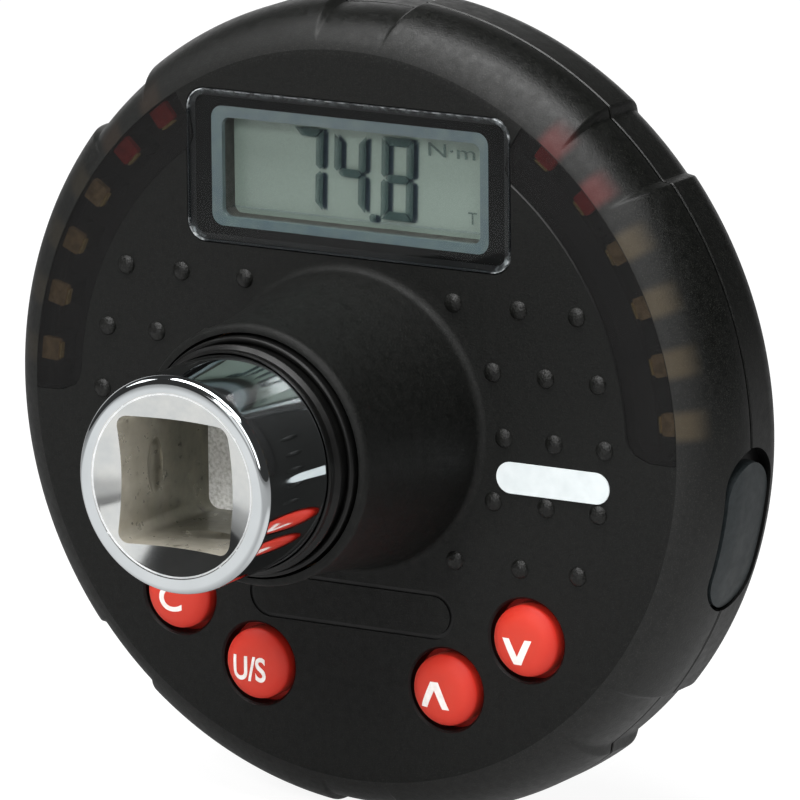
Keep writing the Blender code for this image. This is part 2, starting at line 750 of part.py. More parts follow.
def make_drive_shaft():
    """One forging: the square socket in front, a slimmer torsion length and the drive square."""
    torsion_radius = TORSION_DIAMETER / 2
    groove_radius = NECK_RADIUS - CLIP_GROOVE
    groove_play = GAP / 2
    profile = [(0, SOCKET_REACH)]
    profile += arc_points(
        SOCKET_RADIUS - SOCKET_EDGE, SOCKET_REACH - SOCKET_EDGE, SOCKET_EDGE, math.pi / 2, 0, 3
    )
    profile += [(SOCKET_RADIUS, BARREL_END), (torsion_radius + SHOULDER, BARREL_END - SHOULDER)]
    profile += [(torsion_radius, BARREL_END - 2 * SHOULDER), (torsion_radius, -TORSION_END)]
    profile += [(NECK_RADIUS, -TORSION_END - SHOULDER), (NECK_RADIUS, CLIP_TOP + groove_play)]
    profile += [(groove_radius, CLIP_TOP + groove_play), (groove_radius, CLIP_BOTTOM - groove_play)]
    profile += [(NECK_RADIUS, CLIP_BOTTOM - groove_play), (NECK_RADIUS, SQUARE_START)]
    profile += [(0, SQUARE_START)]
    shaft = turned("drive_shaft", profile, SHAFT_STEPS, CHROME, False)
    square = plate(
        "drive_square",
        [rounded_rectangle(DRIVE_SQUARE, DRIVE_SQUARE, SQUARE_CORNER, steps=2)],
        SQUARE_START + NECK_LAND / 2, TAIL_END,
    )
    corner_reach = DRIVE_SQUARE / math.sqrt(2)
    chamfer = [(0, SQUARE_START + 2 * OVERCUT), (corner_reach, SQUARE_START + 2 * OVERCUT)]
    chamfer += [(corner_reach, TAIL_END + SQUARE_END_CHAMFER)]
    chamfer += [(corner_reach - 2 * SQUARE_END_CHAMFER, TAIL_END), (0, TAIL_END)]
    keep_inside(square, turned("square_end_turning", chamfer, SHAFT_STEPS, None, False))
    join(shaft, square)
    across = DRIVE_SQUARE + 2 * SQUARE_PLAY
    cut(shaft, plate(
        "socket_square", [rounded_rectangle(across, across, SQUARE_CORNER, steps=3)],
        SOCKET_REACH + OVERCUT, SOCKET_FLOOR,
    ))
    cut(shaft, make_socket_mouth(), make_detent_grooves())
    ball_bore = rod("ball_bore", BALL_DIAMETER / 2 + GAP / 2, DRIVE_SQUARE, BALL_BORE_FLOOR, SMALL_STEPS)
    stand_on_flat(ball_bore)
    cut(shaft, ball_bore)
    return shaft


def stand_on_flat(obj):
    """Turns a shape drawn along z to point up, through the middle of the ball's place."""
    obj.rotation_euler = (-math.pi / 2, 0, 0)
    obj.location = (0, 0, TAIL_END + BALL_FROM_END)


def make_socket_mouth():
    """The lathe-cut cone that leads into the square."""
    slope = (MOUTH_DIAMETER - DRIVE_SQUARE) / 2 / MOUTH_DEPTH
    outer = MOUTH_DIAMETER / 2 + slope * OVERCUT
    tip = SOCKET_REACH - MOUTH_DIAMETER / 2 / slope
    profile = [(0, SOCKET_REACH + OVERCUT), (outer, SOCKET_REACH + OVERCUT), (0, tip)]
    return turned("socket_mouth", profile, SHAFT_STEPS, None, False)


def make_detent_grooves():
    """An oval groove across each inner flat of the socket, for the ratchet's ball."""
    bm = bmesh.new()
    for quarter in range(4):
        oval = bmesh.ops.create_uvsphere(bm, u_segments=12, v_segments=6, radius=0.5)["verts"]
        bmesh.ops.scale(bm, verts=oval, vec=(2 * DETENT_SINK, DETENT_WIDTH, DETENT_HEIGHT))
        place = (DRIVE_SQUARE / 2, 0, SOCKET_REACH - DETENT_DEPTH)
        bmesh.ops.translate(bm, verts=oval, vec=place)
        turn = Matrix.Rotation(math.pi / 2 * quarter, 3, "Z")
        bmesh.ops.rotate(bm, verts=oval, matrix=turn)
    return from_bmesh("detent_grooves", bm)


def ball_centre():
    """How far the ball's middle stands above the drive axis."""
    return DRIVE_SQUARE / 2 + BALL_PROUD - BALL_DIAMETER / 2


def make_detent_ball():
    """The ball that holds a socket on the drive square."""
    bm = bmesh.new()
    bmesh.ops.create_uvsphere(bm, u_segments=16, v_segments=8, radius=BALL_DIAMETER / 2)
    ball = from_bmesh("detent_ball", bm, STEEL)
    ball.location = (0, ball_centre(), TAIL_END + BALL_FROM_END)
    return ball


def make_detent_spring():
    """The coil spring under the ball."""
    coil_radius = BALL_DIAMETER / 2 - SPRING_WIRE
    low = BALL_BORE_FLOOR + GAP + SPRING_WIRE / 2
    high = ball_centre() - math.sqrt((BALL_DIAMETER / 2) ** 2 - coil_radius ** 2) - SPRING_WIRE - GAP
    per_turn = 8
    count = SPRING_TURNS * per_turn
    curve = bpy.data.curves.new("detent_spring", "CURVE")
    curve.dimensions = "3D"
    curve.bevel_depth = SPRING_WIRE / 2
    curve.bevel_resolution = 2
    curve.use_fill_caps = True
    spline = curve.splines.new("POLY")
    spline.points.add(count)
    for i, point in enumerate(spline.points):
        angle = math.tau * i / per_turn
        rise = low + (high - low) * i / count
        point.co = (coil_radius * math.cos(angle), coil_radius * math.sin(angle), rise, 1)
    spring = meshed_curve("detent_spring", curve, STEEL, Matrix.Identity(4))
    stand_on_flat(spring)
    return spring


def make_seals_and_bushes():
    """The rubber seals and plain bushes between the shaft and the two shells."""
    bore = SOCKET_RADIUS + GAP
    lip = bore + SEAL_LIP_WIDTH
    outer = SEAL_DIAMETER / 2
    ridge_top = BOSS_HEIGHT + SEAL_RIDGE
    middle = (lip + outer) / 2
    half_ridge = (outer - lip) / 2 - GAP / 2
    lip_top = BOSS_HEIGHT + SEAL_LIP_REACH
    profile = [(bore, lip_top), (lip - SEAL_LIP_WIDTH / 3, lip_top), (lip, lip_top - SEAL_LIP_WIDTH)]
    profile += [(lip, BOSS_HEIGHT)]
    profile += arc_points(middle + GAP / 2, ridge_top - half_ridge, half_ridge, math.pi, 0, 3)
    profile += [(outer, BOSS_HEIGHT - SEAL_DEPTH), (bore, BOSS_HEIGHT - SEAL_DEPTH)]
    turned("front_seal", profile, RING_STEPS, BLACK_RUBBER)
    bush_top = BOSS_HEIGHT - SEAL_DEPTH - 2 * GAP
    ring_of(
        "front_bush", bore, BOSS_BORE / 2 - GAP, bush_top, bush_top - BUSH_LENGTH, SHAFT_STEPS, BRONZE
    )
    rear_inner = NECK_RADIUS + GAP
    rear_outer = REAR_BORE_RADIUS - GAP
    bush_start = REAR_SEAL_TOP + GAP + REAR_BUSH_LENGTH
    ring_of(
        "rear_bush", rear_inner, rear_outer, bush_start, REAR_SEAL_TOP + GAP, RING_STEPS, BRONZE
    )
    ring_of(
        "rear_seal", rear_inner, rear_outer, REAR_SEAL_TOP, REAR_BOSS_END, RING_STEPS, BLACK_RUBBER
    )


def make_retaining_ring():
    """The open spring ring in the groove behind the rear boss, with its two pierced ears."""
    inner = NECK_RADIUS - CLIP_GROOVE + GAP
    outer = inner + CLIP_WIDTH
    half = CLIP_OPENING / 2
    sweep = math.tau - CLIP_OPENING
    angles = [-math.pi / 2 + half + sweep * i / RING_STEPS for i in range(RING_STEPS + 1)]
    outline = [on_circle(outer, a) for a in angles] + [on_circle(inner, a) for a in reversed(angles)]
    ring = plate("retaining_ring", [outline], CLIP_TOP, CLIP_BOTTOM, STEEL)
    ear_circle = inner + CLIP_EAR_DIAMETER / 2 + GAP / 2
    ear_turn = half + CLIP_EAR_SET_BACK
    ears = [on_circle(ear_circle, -math.pi / 2 + side * ear_turn) for side in (-1, 1)]
    join(ring, rods("clip_ears", CLIP_EAR_DIAMETER / 2, CLIP_TOP, CLIP_BOTTOM, SMALL_STEPS, ears))
    cut(ring, rods(
        "clip_ear_holes", CLIP_EAR_HOLE / 2, CLIP_TOP + OVERCUT, CLIP_BOTTOM - OVERCUT, SMALL_STEPS,
        ears,
    ))
    return ring


def make_display():
    """The clear window in the face, the liquid crystal cell behind it and its holder."""
    middle = (0, WINDOW_CENTRE)
    plate(
        "display_window", [rounded_rectangle(WINDOW_WIDTH, WINDOW_HEIGHT, WINDOW_CORNER, middle)],
        WINDOW_PROUD, WINDOW_PROUD - WINDOW_THICKNESS, CLEAR,
    )
    block(
        "display_cell", (LCD_WIDTH, LCD_HEIGHT, LCD_THICKNESS),
        (0, WINDOW_CENTRE, (LCD_TOP + LCD_BOTTOM) / 2), LCD_GREY, SOFT_EDGE,
    )
    plate(
        "display_holder",
        [
            rounded_rectangle(HOLDER_WIDTH, HOLDER_HEIGHT, HOLDER_CORNER, middle),
            rounded_rectangle(
                HOLDER_WIDTH - 2 * HOLDER_FRAME, HOLDER_HEIGHT - 2 * HOLDER_FRAME, HOLDER_CORNER / 2,
                middle,
            ),
        ],
        HOLDER_TOP, HOLDER_BOTTOM, BLACK_PLASTIC,
    )


def make_main_board():
    """The ring-shaped circuit board, notched for the pillars and the port."""
    board = plate(
        "main_board",
        [circle_points(BOARD_RADIUS, SHAFT_STEPS), circle_points(BOARD_BORE / 2, RING_STEPS)],
        BOARD_TOP, BOARD_BOTTOM, BOARD_GREEN,
    )
    cut(board, rods(
        "board_notches", PILLAR_DIAMETER / 2 + GAP, BOARD_TOP + OVERCUT, BOARD_BOTTOM - OVERCUT,
        SMALL_STEPS, pillar_centres,
    ))
    notch = plate(
        "port_notch",
        [rounded_rectangle(PORT_LENGTH + 2 * GAP, PORT_NOTCH_WIDTH, SOFT_EDGE, steps=1)],
        HOUSING_RADIUS, HOUSING_RADIUS - WALL - PORT_DEPTH - GAP,
    )
    notch.location = (0, 0, POCKET_CENTRE)
    face_radially(notch, PORT_PLACE)
    cut(board, notch)
    return board


def make_button(name, place):
    """A domed button with a flange behind the face and a stem over its switch."""
    radius = BUTTON_DIAMETER / 2
    crown = [(0, BUTTON_CROWN)]
    for share in BUTTON_CROWN_SHARES:
        crown.append((radius * share, BUTTON_EDGE + (BUTTON_CROWN - BUTTON_EDGE) * (1 - share ** 4)))
    flange_top = -WALL - GAP
    flange_end = flange_top - BUTTON_FLANGE_THICKNESS
    stem_end = flange_end - BUTTON_STEM_LENGTH
    profile = crown + [(radius, flange_top), (BUTTON_FLANGE / 2, flange_top)]
    profile += [(BUTTON_FLANGE / 2, flange_end), (BUTTON_STEM / 2, flange_end)]
    profile += [(BUTTON_STEM / 2, stem_end), (0, stem_end)]
    centre = on_circle(BUTTON_CIRCLE, place)
    turned(name, profile, BUTTON_STEPS, RED_SILICONE, False, centre)
    return stem_end


def make_switch(name, place, stem_end):
    """The small switch on the board under a button."""
    x, y = on_circle(BUTTON_CIRCLE, place)
    low = BOARD_TOP + SKIN
    top = stem_end - BUTTON_TRAVEL - SWITCH_PLAY
    body_top = low + (top - low) * SWITCH_BODY_SHARE
    body = block(
        name, (SWITCH_WIDTH, SWITCH_WIDTH, body_top - low), (x, y, (body_top + low) / 2), BLACK_PLASTIC
    )
    plunger = rod(name + "_plunger", SWITCH_PLUNGER / 2, top, low + GAP, SMALL_STEPS, None, (x, y))
    join(body, plunger)


def make_lights():
    """Two white reflector bars on the board, each with six light windows in its pockets."""
    for side, mirror in (("right", False), ("left", True)):
        angles = [math.pi - a if mirror else a for a in LIGHT_ANGLES]
        first = min(angles) - BAR_MARGIN
        last = max(angles) + BAR_MARGIN
        low = BOARD_TOP + SKIN
        inner = LIGHT_CIRCLE - LIGHT_LENGTH / 2 - GAP - BAR_WALL
        outer = LIGHT_CIRCLE + BAR_OUTSIDE
        section = [(inner, low + BAR_HEIGHT), (outer, low + BAR_HEIGHT), (outer, low), (inner, low)]
        bar = sector(f"{side}_light_bar", section, first, last, 12, BLACK_PLASTIC)
        pockets = bmesh.new()
        for number, angle in enumerate(angles, 1):
            size = (LIGHT_LENGTH, LIGHT_WIDTH, LIGHT_HEIGHT)
            middle = (LIGHT_CIRCLE, 0, low + LIGHT_HEIGHT / 2)
            finish = RED_LIGHT if number > len(angles) - 2 else AMBER_LIGHT
            light = block(f"{side}_light_{number}", size, middle, finish)
            light.rotation_euler = (0, 0, angle)
            pocket = bmesh.ops.create_cube(pockets, size=1.0)["verts"]
            room = (LIGHT_LENGTH + 2 * GAP, LIGHT_WIDTH + 2 * GAP, 2 * LIGHT_HEIGHT)
            bmesh.ops.scale(pockets, verts=pocket, vec=room)
            bmesh.ops.translate(pockets, verts=pocket, vec=(LIGHT_CIRCLE, 0, low))
            bmesh.ops.rotate(pockets, verts=pocket, matrix=Matrix.Rotation(angle, 3, "Z"))
        cut(bar, from_bmesh(f"{side}_light_pockets", pockets))


def make_board_parts():
    """The buzzer, the rotation sensor and the strain gauge with its film cable."""
    low = BOARD_BOTTOM - SKIN
    ring_of(
        "buzzer", BUZZER_HOLE / 2, BUZZER_DIAMETER / 2, low, low - BUZZER_HEIGHT, BUTTON_STEPS,
        BLACK_PLASTIC, BUZZER_PLACE,
    )
    block(
        "rotation_sensor", (SENSOR_CHIP, SENSOR_CHIP, SENSOR_THICKNESS),
        (*SENSOR_PLACE, BOARD_TOP + SKIN + SENSOR_THICKNESS / 2), BLACK_PLASTIC, SOFT_EDGE,
    )
    gauge_radius = TORSION_DIAMETER / 2 + SKIN
    section = [(gauge_radius, 0), (gauge_radius + GAUGE_THICKNESS, 0)]
    section += [(gauge_radius + GAUGE_THICKNESS, -GAUGE_LENGTH), (gauge_radius, -GAUGE_LENGTH)]
    sector(
        "strain_gauge", section, math.pi - GAUGE_SPREAD / 2, math.pi + GAUGE_SPREAD / 2, 8, FLEX_AMBER
    )
    make_flex(gauge_radius + GAUGE_THICKNESS + SKIN)


def make_flex(start):
    """The flat film cable from the strain gauge out to the board."""
    lands = BOARD_TOP + SKIN + FLEX_THICKNESS
    crossing = -WALL - 3 * GAP
    edge = BOARD_BORE / 2
    route = [(start, FLEX_LAP - GAUGE_LENGTH), (start, crossing - FLEX_STEP)]
    route += [(start + FLEX_STEP / 2, crossing), (edge - 2 * FLEX_STEP, crossing)]
    route += [(edge - FLEX_STEP / 2, crossing - FLEX_STEP), (edge + FLEX_STEP / 2, lands)]
    route += [(edge + FLEX_LANDING, lands)]
    bm = bmesh.new()
    rows = []
    for reach, z in route:
        rows.append([bm.verts.new((-reach, side * FLEX_WIDTH / 2, z)) for side in (-1, 1)])
    for first, second in zip(rows, rows[1:]):
        bm.faces.new((first[0], first[1], second[1], second[0]))
    bmesh.ops.recalc_face_normals(bm, faces=bm.faces)
    flex = from_bmesh("gauge_flex", bm, FLEX_AMBER)
    wall = flex.modifiers.new("film", "SOLIDIFY")
    wall.thickness = FLEX_THICKNESS
    wall.offset = 1 if flex.data.polygons[0].normal.x < 0 else -1


def make_cells():
    """Two coin cells in the rear shell, each with its contact, cover and cover seal."""
    for side in CELL_PLACES:
        centre = cell_centre(side)
        radius = CELL_DIAMETER / 2
        cap_radius = radius - CELL_RIM
        profile = [(0, CELL_TOP), (cap_radius, CELL_TOP), (cap_radius, CELL_TOP - CELL_EDGE)]
        profile += [(radius, CELL_TOP - 2 * CELL_EDGE), (radius, CELL_BOTTOM + CELL_EDGE)]
        profile += [(radius - CELL_EDGE, CELL_BOTTOM), (0, CELL_BOTTOM)]
        turned(f"cell_{side}", profile, RING_STEPS, STEEL, False, centre)
        inner = CONTACT_INNER_DIAMETER / 2
        outer = CONTACT_OUTER_DIAMETER / 2
        low = CONTACT_TOP - CONTACT_RISE
        profile = [(inner, low + CONTACT_THICKNESS), (outer, CONTACT_TOP)]
        profile += [(outer, CONTACT_TOP - CONTACT_THICKNESS), (inner, low)]
        turned(f"cell_contact_{side}", profile, BUTTON_STEPS, BRASS, True, centre)
        make_cover(side, centre)


def make_cover(side, centre):
    """A quarter-turn cover with a coin slot, a neck in the cup and a seal under its head."""
    neck = CUP_RADIUS - GAP
    groove = neck - COVER_SEAL
    head_top = COVER_SEAT
    seal_low = head_top + GAP
    seal_top = seal_low + 2 * COVER_SEAL
    profile = [(0, COVER_TOP), (neck, COVER_TOP), (neck, seal_top), (groove, seal_top)]
    profile += [(groove, head_top), (COVER_RADIUS, head_top), (COVER_RADIUS, BACK + GAP)]
    profile += [(COVER_RADIUS - GAP, BACK), (0, BACK)]
    cover = turned(f"battery_cover_{side}", profile, RING_STEPS, BLACK_PLASTIC, False, centre)
    slot = block(
        f"coin_slot_{side}", (COVER_SLOT_LENGTH, COVER_SLOT_WIDTH, 2 * COVER_SLOT_DEPTH),
        (0, 0, BACK),
    )
    slot.location = (centre[0], centre[1], 0)
    cut(cover, slot)
    ring_of(
        f"cover_seal_{side}", groove + SKIN, CUP_RADIUS - GAP / 2, seal_top - SKIN, seal_low - GAP + SKIN,
        RING_STEPS, BLACK_RUBBER, centre,
    )


def make_case_screws():
    """Four cross-head screws from the back, alike and each with its own place."""
    head_top = BACK + SCREW_SINK + SCREW_HEAD_HEIGHT
    head_end = BACK + SCREW_SINK
    tip = -PARTING_DEPTH + SCREW_BITE
    radius = SCREW_DIAMETER / 2
    profile = [(0, tip), (radius / 2, tip), (radius, tip - radius), (radius, head_top)]
    profile += [(SCREW_HEAD / 2, head_top), (SCREW_HEAD / 2, head_end + SCREW_HEAD_EDGE)]
    profile += [(SCREW_HEAD / 2 - SCREW_HEAD_EDGE, head_end), (0, head_end)]
    for number, centre in enumerate(pillar_centres, 1):
        screw = turned(f"case_screw_{number}", profile, SMALL_STEPS, STEEL, False, centre)
        for way, reach in (("across", (1, 0)), ("upright", (0, 1))):
            width = SCREW_CROSS + reach[0] * (SCREW_CROSS_LENGTH - SCREW_CROSS)
            height = SCREW_CROSS + reach[1] * (SCREW_CROSS_LENGTH - SCREW_CROSS)
            arm = block(f"cross_{way}_{number}", (width, height, 2 * SCREW_CROSS_DEPTH), (0, 0, head_end))
            arm.location = (centre[0], centre[1], 0)
            cut(screw, arm)


def make_port():
    """The data port on the board's edge and the soft plug that closes its pocket."""
    shell = rounded_rectangle(PORT_LENGTH, PORT_WIDTH, PORT_WIDTH / 2 - SKIN, steps=4)
    mouth = rounded_rectangle(
        PORT_LENGTH - 2 * PORT_SHELL, PORT_WIDTH - 2 * PORT_SHELL, PORT_WIDTH / 2 - PORT_SHELL - SKIN,
        steps=4,
    )
    outside = HOUSING_RADIUS - POCKET_SINK - GAP
    port = plate("data_port", [shell], outside, outside - PORT_DEPTH, STEEL)
    port.location = (0, 0, POCKET_CENTRE)
    face_radially(port, PORT_PLACE)
    hollow = plate("port_hollow", [mouth], outside + OVERCUT, outside - PORT_DEPTH + PORT_BACK)
    hollow.location = (0, 0, POCKET_CENTRE)
    face_radially(hollow, PORT_PLACE)
    cut(port, hollow)
    make_plug()


def make_plug():
    """The plug: an oval cap that follows the rim, with a tongue that grips inside the port."""
    length = POCKET_LENGTH - 2 * PLUG_GAP
    width = POCKET_WIDTH - 2 * PLUG_GAP
    outline = rounded_rectangle(length, width, width / 2 - SKIN, steps=6)
    plug = plate("rim_plug", [outline], OVERCUT, -WALL - POCKET_SINK, GREY_PLUG)
    plug.location = (*on_circle(HOUSING_RADIUS, PORT_PLACE), POCKET_CENTRE)
    face_radially(plug, PORT_PLACE)
    keep_inside(plug, rim_core("plug_outer_skin", PLUG_SINK))
    cut(plug, rim_core("plug_inner_skin", POCKET_SINK - GAP))
    floor = HOUSING_RADIUS - POCKET_SINK
    tongue = plate(
        "plug_tongue",
        [rounded_rectangle(PLUG_TONGUE_LENGTH, PLUG_TONGUE_WIDTH, PLUG_TONGUE_WIDTH / 2 - SKIN, steps=4)],
        floor + 2 * GAP, floor - PLUG_TONGUE_REACH,
    )
    tongue.location = (0, 0, POCKET_CENTRE)
    face_radially(tongue, PORT_PLACE)
    join(plug, tongue)


def make_label():
    """A blank pill-shaped label on the face."""
    middle = (BOSS_BASE_RADIUS + LABEL_FROM_BOSS + LABEL_LENGTH / 2, -LABEL_DROP)
    plate(
        "blank_label",
        [rounded_rectangle(LABEL_LENGTH, LABEL_WIDTH, LABEL_WIDTH / 2 - SKIN, middle, 6)],
        LABEL_THICKNESS + SKIN, SKIN, WHITE_FILM,
    )


def settle(obj):
    """Applies an object's modifiers and shades its round faces smooth."""
    now = obj.evaluated_get(bpy.context.evaluated_depsgraph_get())
    mesh = bpy.data.meshes.new_from_object(now)
    obj.modifiers.clear()
    old_mesh = obj.data
    obj.data = mesh
    bpy.data.meshes.remove(old_mesh)
    mesh.shade_smooth()
    mesh.set_sharp_from_angle(angle=math.radians(32))


make_front_housing()
make_rear_housing()
make_drive_shaft()
make_detent_ball()
make_detent_spring()
make_seals_and_bushes()
make_retaining_ring()
make_display()
make_main_board()
for button_name, button_place in BUTTON_PLACES.items():
    button_end = make_button(button_name, button_place)
    make_switch(button_name.replace("button", "switch"), button_place, button_end)
make_lights()
make_board_parts()
make_cells()
make_case_screws()
make_port()
make_label()
for part in [obj for obj in parts.objects if obj.type == "MESH"]:
    settle(part)
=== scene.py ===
import json
import math

import bmesh
import bpy
import numpy as np
from mathutils import Matrix, Vector

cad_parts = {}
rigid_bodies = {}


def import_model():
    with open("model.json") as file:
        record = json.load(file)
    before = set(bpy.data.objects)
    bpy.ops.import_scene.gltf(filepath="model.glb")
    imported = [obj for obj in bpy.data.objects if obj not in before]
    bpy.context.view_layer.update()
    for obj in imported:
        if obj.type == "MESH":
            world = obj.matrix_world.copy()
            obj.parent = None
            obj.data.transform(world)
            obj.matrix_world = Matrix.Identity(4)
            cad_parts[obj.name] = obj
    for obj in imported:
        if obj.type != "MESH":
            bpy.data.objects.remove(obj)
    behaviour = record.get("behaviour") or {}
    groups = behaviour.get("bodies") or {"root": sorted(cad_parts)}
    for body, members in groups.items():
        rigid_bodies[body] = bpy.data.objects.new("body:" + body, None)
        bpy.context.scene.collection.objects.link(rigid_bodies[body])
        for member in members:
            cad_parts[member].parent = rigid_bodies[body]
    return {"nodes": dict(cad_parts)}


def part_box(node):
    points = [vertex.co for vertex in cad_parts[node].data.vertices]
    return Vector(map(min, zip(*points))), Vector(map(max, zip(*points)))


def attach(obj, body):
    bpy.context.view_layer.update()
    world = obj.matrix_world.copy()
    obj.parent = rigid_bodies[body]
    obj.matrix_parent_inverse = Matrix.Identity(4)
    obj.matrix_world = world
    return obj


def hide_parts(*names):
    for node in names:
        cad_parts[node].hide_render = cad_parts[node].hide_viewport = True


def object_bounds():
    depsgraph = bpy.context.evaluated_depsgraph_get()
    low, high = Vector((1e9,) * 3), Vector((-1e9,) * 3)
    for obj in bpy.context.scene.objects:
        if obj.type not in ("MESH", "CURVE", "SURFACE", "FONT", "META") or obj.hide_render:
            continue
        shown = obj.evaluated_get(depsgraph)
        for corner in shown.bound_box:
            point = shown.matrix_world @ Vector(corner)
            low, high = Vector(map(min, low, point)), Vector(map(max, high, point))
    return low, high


for old in list(bpy.data.objects):
    bpy.data.objects.remove(old, do_unlink=True)
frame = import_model()
solid_low, solid_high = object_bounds()
scene = bpy.context.scene

# Everything below is drawn in millimetres with the gauge on its back: x to the reader's right,
# y up the face, z out of the display from the flat face. STAND turns it upright on its solids.
shaft_low, shaft_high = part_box("drive_shaft")
FACE_Y = (shaft_low.y + shaft_high.y) / 2
AXIS_Z = (shaft_low.z + shaft_high.z) / 2
STAND = (
    Matrix.Translation((0, FACE_Y, AXIS_Z))
    @ Matrix.Rotation(math.pi / 2, 4, "X")
    @ Matrix.Scale(0.001, 4)
)
FACE = 37.5045
RIM = 42.0045
BACK = -15.0
PARTING = -7.2
GRIPS = [math.radians(a) for a in (45, 90, 135, 225, 270, 315)]
WINDOW_Y = 24.45
LIGHTS = [5, 14.4, 23.8, 33.2, 42.6, 52]
BUTTONS = {"clear": 225, "unit": 247.5, "up": 292.5, "down": 315}
BUTTON_CIRCLE = 28.9045
BUTTON_RADIUS = 3.65
LIGHT_STEP = 9.4
LIGHT_CIRCLE = 36.5545
LIGHT_START = -1.2
LIGHT_END = 57.5
WINDOW_INNER = 32.0
CELL_MIDDLE = (0, 24.3)
PORT_ANGLE = 347.5
PORT_Z = -7.8
SCREW_CIRCLE = 35.0
SCREW_ANGLES = (90, 210, 270, 330)
COVER_SPOTS = {
    name: (side * 25.2 * math.cos(math.radians(30)), 12.6) for name, side in (("left", -1), ("right", 1))
}
# The drive shaft: its half-inch square, the mouth and the floor of the socket, and the far end.
SQUARE = 12.7
MOUTH = 33.4
SOCKET_FLOOR = 16.4
TIP = -33.4
# The rim is one arc, from a soft crease at the edge of the flat face to its widest ring.
WIDEST = -7.0
ARC_RADIUS = ((RIM - FACE) ** 2 + WIDEST ** 2) / (2 * (RIM - FACE))
ARC_START = math.degrees(math.asin(-WIDEST / ARC_RADIUS))


# Small tools.


def linear(code):
    """An sRGB hex colour as linear light."""
    parts = [int(code[i:i + 2], 16) / 255 for i in (1, 3, 5)]
    return (*(c / 12.92 if c < 0.04045 else ((c + 0.055) / 1.055) ** 2.4 for c in parts), 1.0)


def join(tree, source, socket):
    """Links a socket, or the first output of a node, to an input."""
    tree.links.new(getattr(source, "outputs", [source])[0], socket)


def add(tree, kind, values=(), links=(), **settings):
    """A node with its settings, its socket values and what is linked into it."""
    node = tree.nodes.new(kind)
    for name, value in settings.items():
        setattr(node, name, value)
    for socket, value in dict(values).items():
        node.inputs[socket].default_value = value
    for socket, source in dict(links).items():
        join(tree, source, node.inputs[socket])
    return node


def hold(name, mesh):
    """An object in the scene for a mesh."""
    obj = bpy.data.objects.new(name, mesh)
    scene.collection.objects.link(obj)
    return obj


def drop(*objs):
    """Removes guide objects."""
    for obj in objs:
        bpy.data.objects.remove(obj, do_unlink=True)


def bake(obj):
    """Turns an object's modifiers into its plain mesh."""
    now = obj.evaluated_get(bpy.context.evaluated_depsgraph_get())
    mesh = bpy.data.meshes.new_from_object(now)
    obj.modifiers.clear()
    obj.data = mesh
    return obj


def tidy(obj, distance=0.0005):
    """Closes seams and poles and points the faces outwards."""
    bm = bmesh.new()
    bm.from_mesh(obj.data)
    bmesh.ops.remove_doubles(bm, verts=bm.verts, dist=distance)
    bmesh.ops.dissolve_degenerate(bm, edges=bm.edges, dist=distance)
    bmesh.ops.recalc_face_normals(bm, faces=bm.faces)
    bm.to_mesh(obj.data)
    bm.free()
    return obj


def place(obj, body, finish, slot, *nodes, sharp=20):
    """Finishes a drawn piece: material, smooth faces, its place on its body and what it stands for.

    A piece with no finish given keeps the ones its faces already have.
    """
    if finish is not None:
        obj.data.materials.clear()
        obj.data.materials.append(finish)
    obj.data.transform(STAND)
    obj.data.shade_smooth()
    obj.data.set_sharp_from_angle(angle=math.radians(sharp))
    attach(obj, body)
    if nodes:
        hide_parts(*nodes)
    return obj


def even(steps, start=0.0):
    """Angles evenly round a turn."""
    return [start + math.tau * i / steps for i in range(steps)]


def polar(radius, degrees):
    """A point of the face from its radius and angle."""
    return (radius * math.cos(math.radians(degrees)), radius * math.sin(math.radians(degrees)))


def arc(centre_r, centre_z, radius, start, end, steps):
    """Points of an arc in the (radius, z) plane, angles in degrees."""
    angles = [math.radians(start + (end - start) * i / steps) for i in range(steps + 1)]
    return [(centre_r + radius * math.cos(a), centre_z + radius * math.sin(a)) for a in angles]


def revolve(name, profile, steps=96, ring=True, centre=(0, 0), press=None, angles=None):
    """A (radius, z) profile turned about z, pressed in by press(radius, z, angle) where given."""
    angles = np.array(even(steps) if angles is None else angles)
    radius = np.array([p[0] for p in profile], float)[None, :] + 0 * angles[:, None]
    height = np.array([p[1] for p in profile], float)[None, :] + 0 * angles[:, None]
    turn = angles[:, None] + 0 * radius
    if press is not None:
        radius = radius - press(radius, height, turn)
    points = np.stack(
        [centre[0] + radius * np.cos(turn), centre[1] + radius * np.sin(turn), height], axis=2
    ).reshape(-1, 3)
    count = len(profile)
    rounds = len(angles)
    faces = []
    for i in range(rounds):
        a, b = i * count, (i + 1) % rounds * count
        for j in range(count if ring else count - 1):
            k = (j + 1) % count
            faces.append((a + j, b + j, b + k, a + k))
    mesh = bpy.data.meshes.new(name)
    mesh.from_pydata(points.tolist(), [], faces)
    return tidy(hold(name, mesh))


def carve(obj, operation, *others):
    """Cuts, joins or intersects with guide shapes, whose faces keep their own material."""
    for other in others:
        step = obj.modifiers.new("carve", "BOOLEAN")
        step.operation = operation
        step.solver = "EXACT"
        step.material_mode = "TRANSFER"
        step.object = other
    bake(obj)
    drop(*others)
    return obj


def soften(obj, width, segments=2, angle=30):
    """Rounds the edges of a drawn piece."""
    step = obj.modifiers.new("soften", "BEVEL")
    step.width = width
    step.segments = segments
    step.limit_method = "ANGLE"
    step.angle_limit = math.radians(angle)
    return bake(obj)


def round_box(width, height, corner, centre=(0, 0), steps=8):
    """The outline of a rectangle with round corners."""
    points = []
    for quarter, (sx, sy) in enumerate(((1, 1), (-1, 1), (-1, -1), (1, -1))):
        x = centre[0] + sx * (width / 2 - corner)
        y = centre[1] + sy * (height / 2 - corner)
        for i in range(steps + 1):
            angle = math.pi / 2 * (quarter + i / steps)
            points.append((x + corner * math.cos(angle), y + corner * math.sin(angle)))
    return points


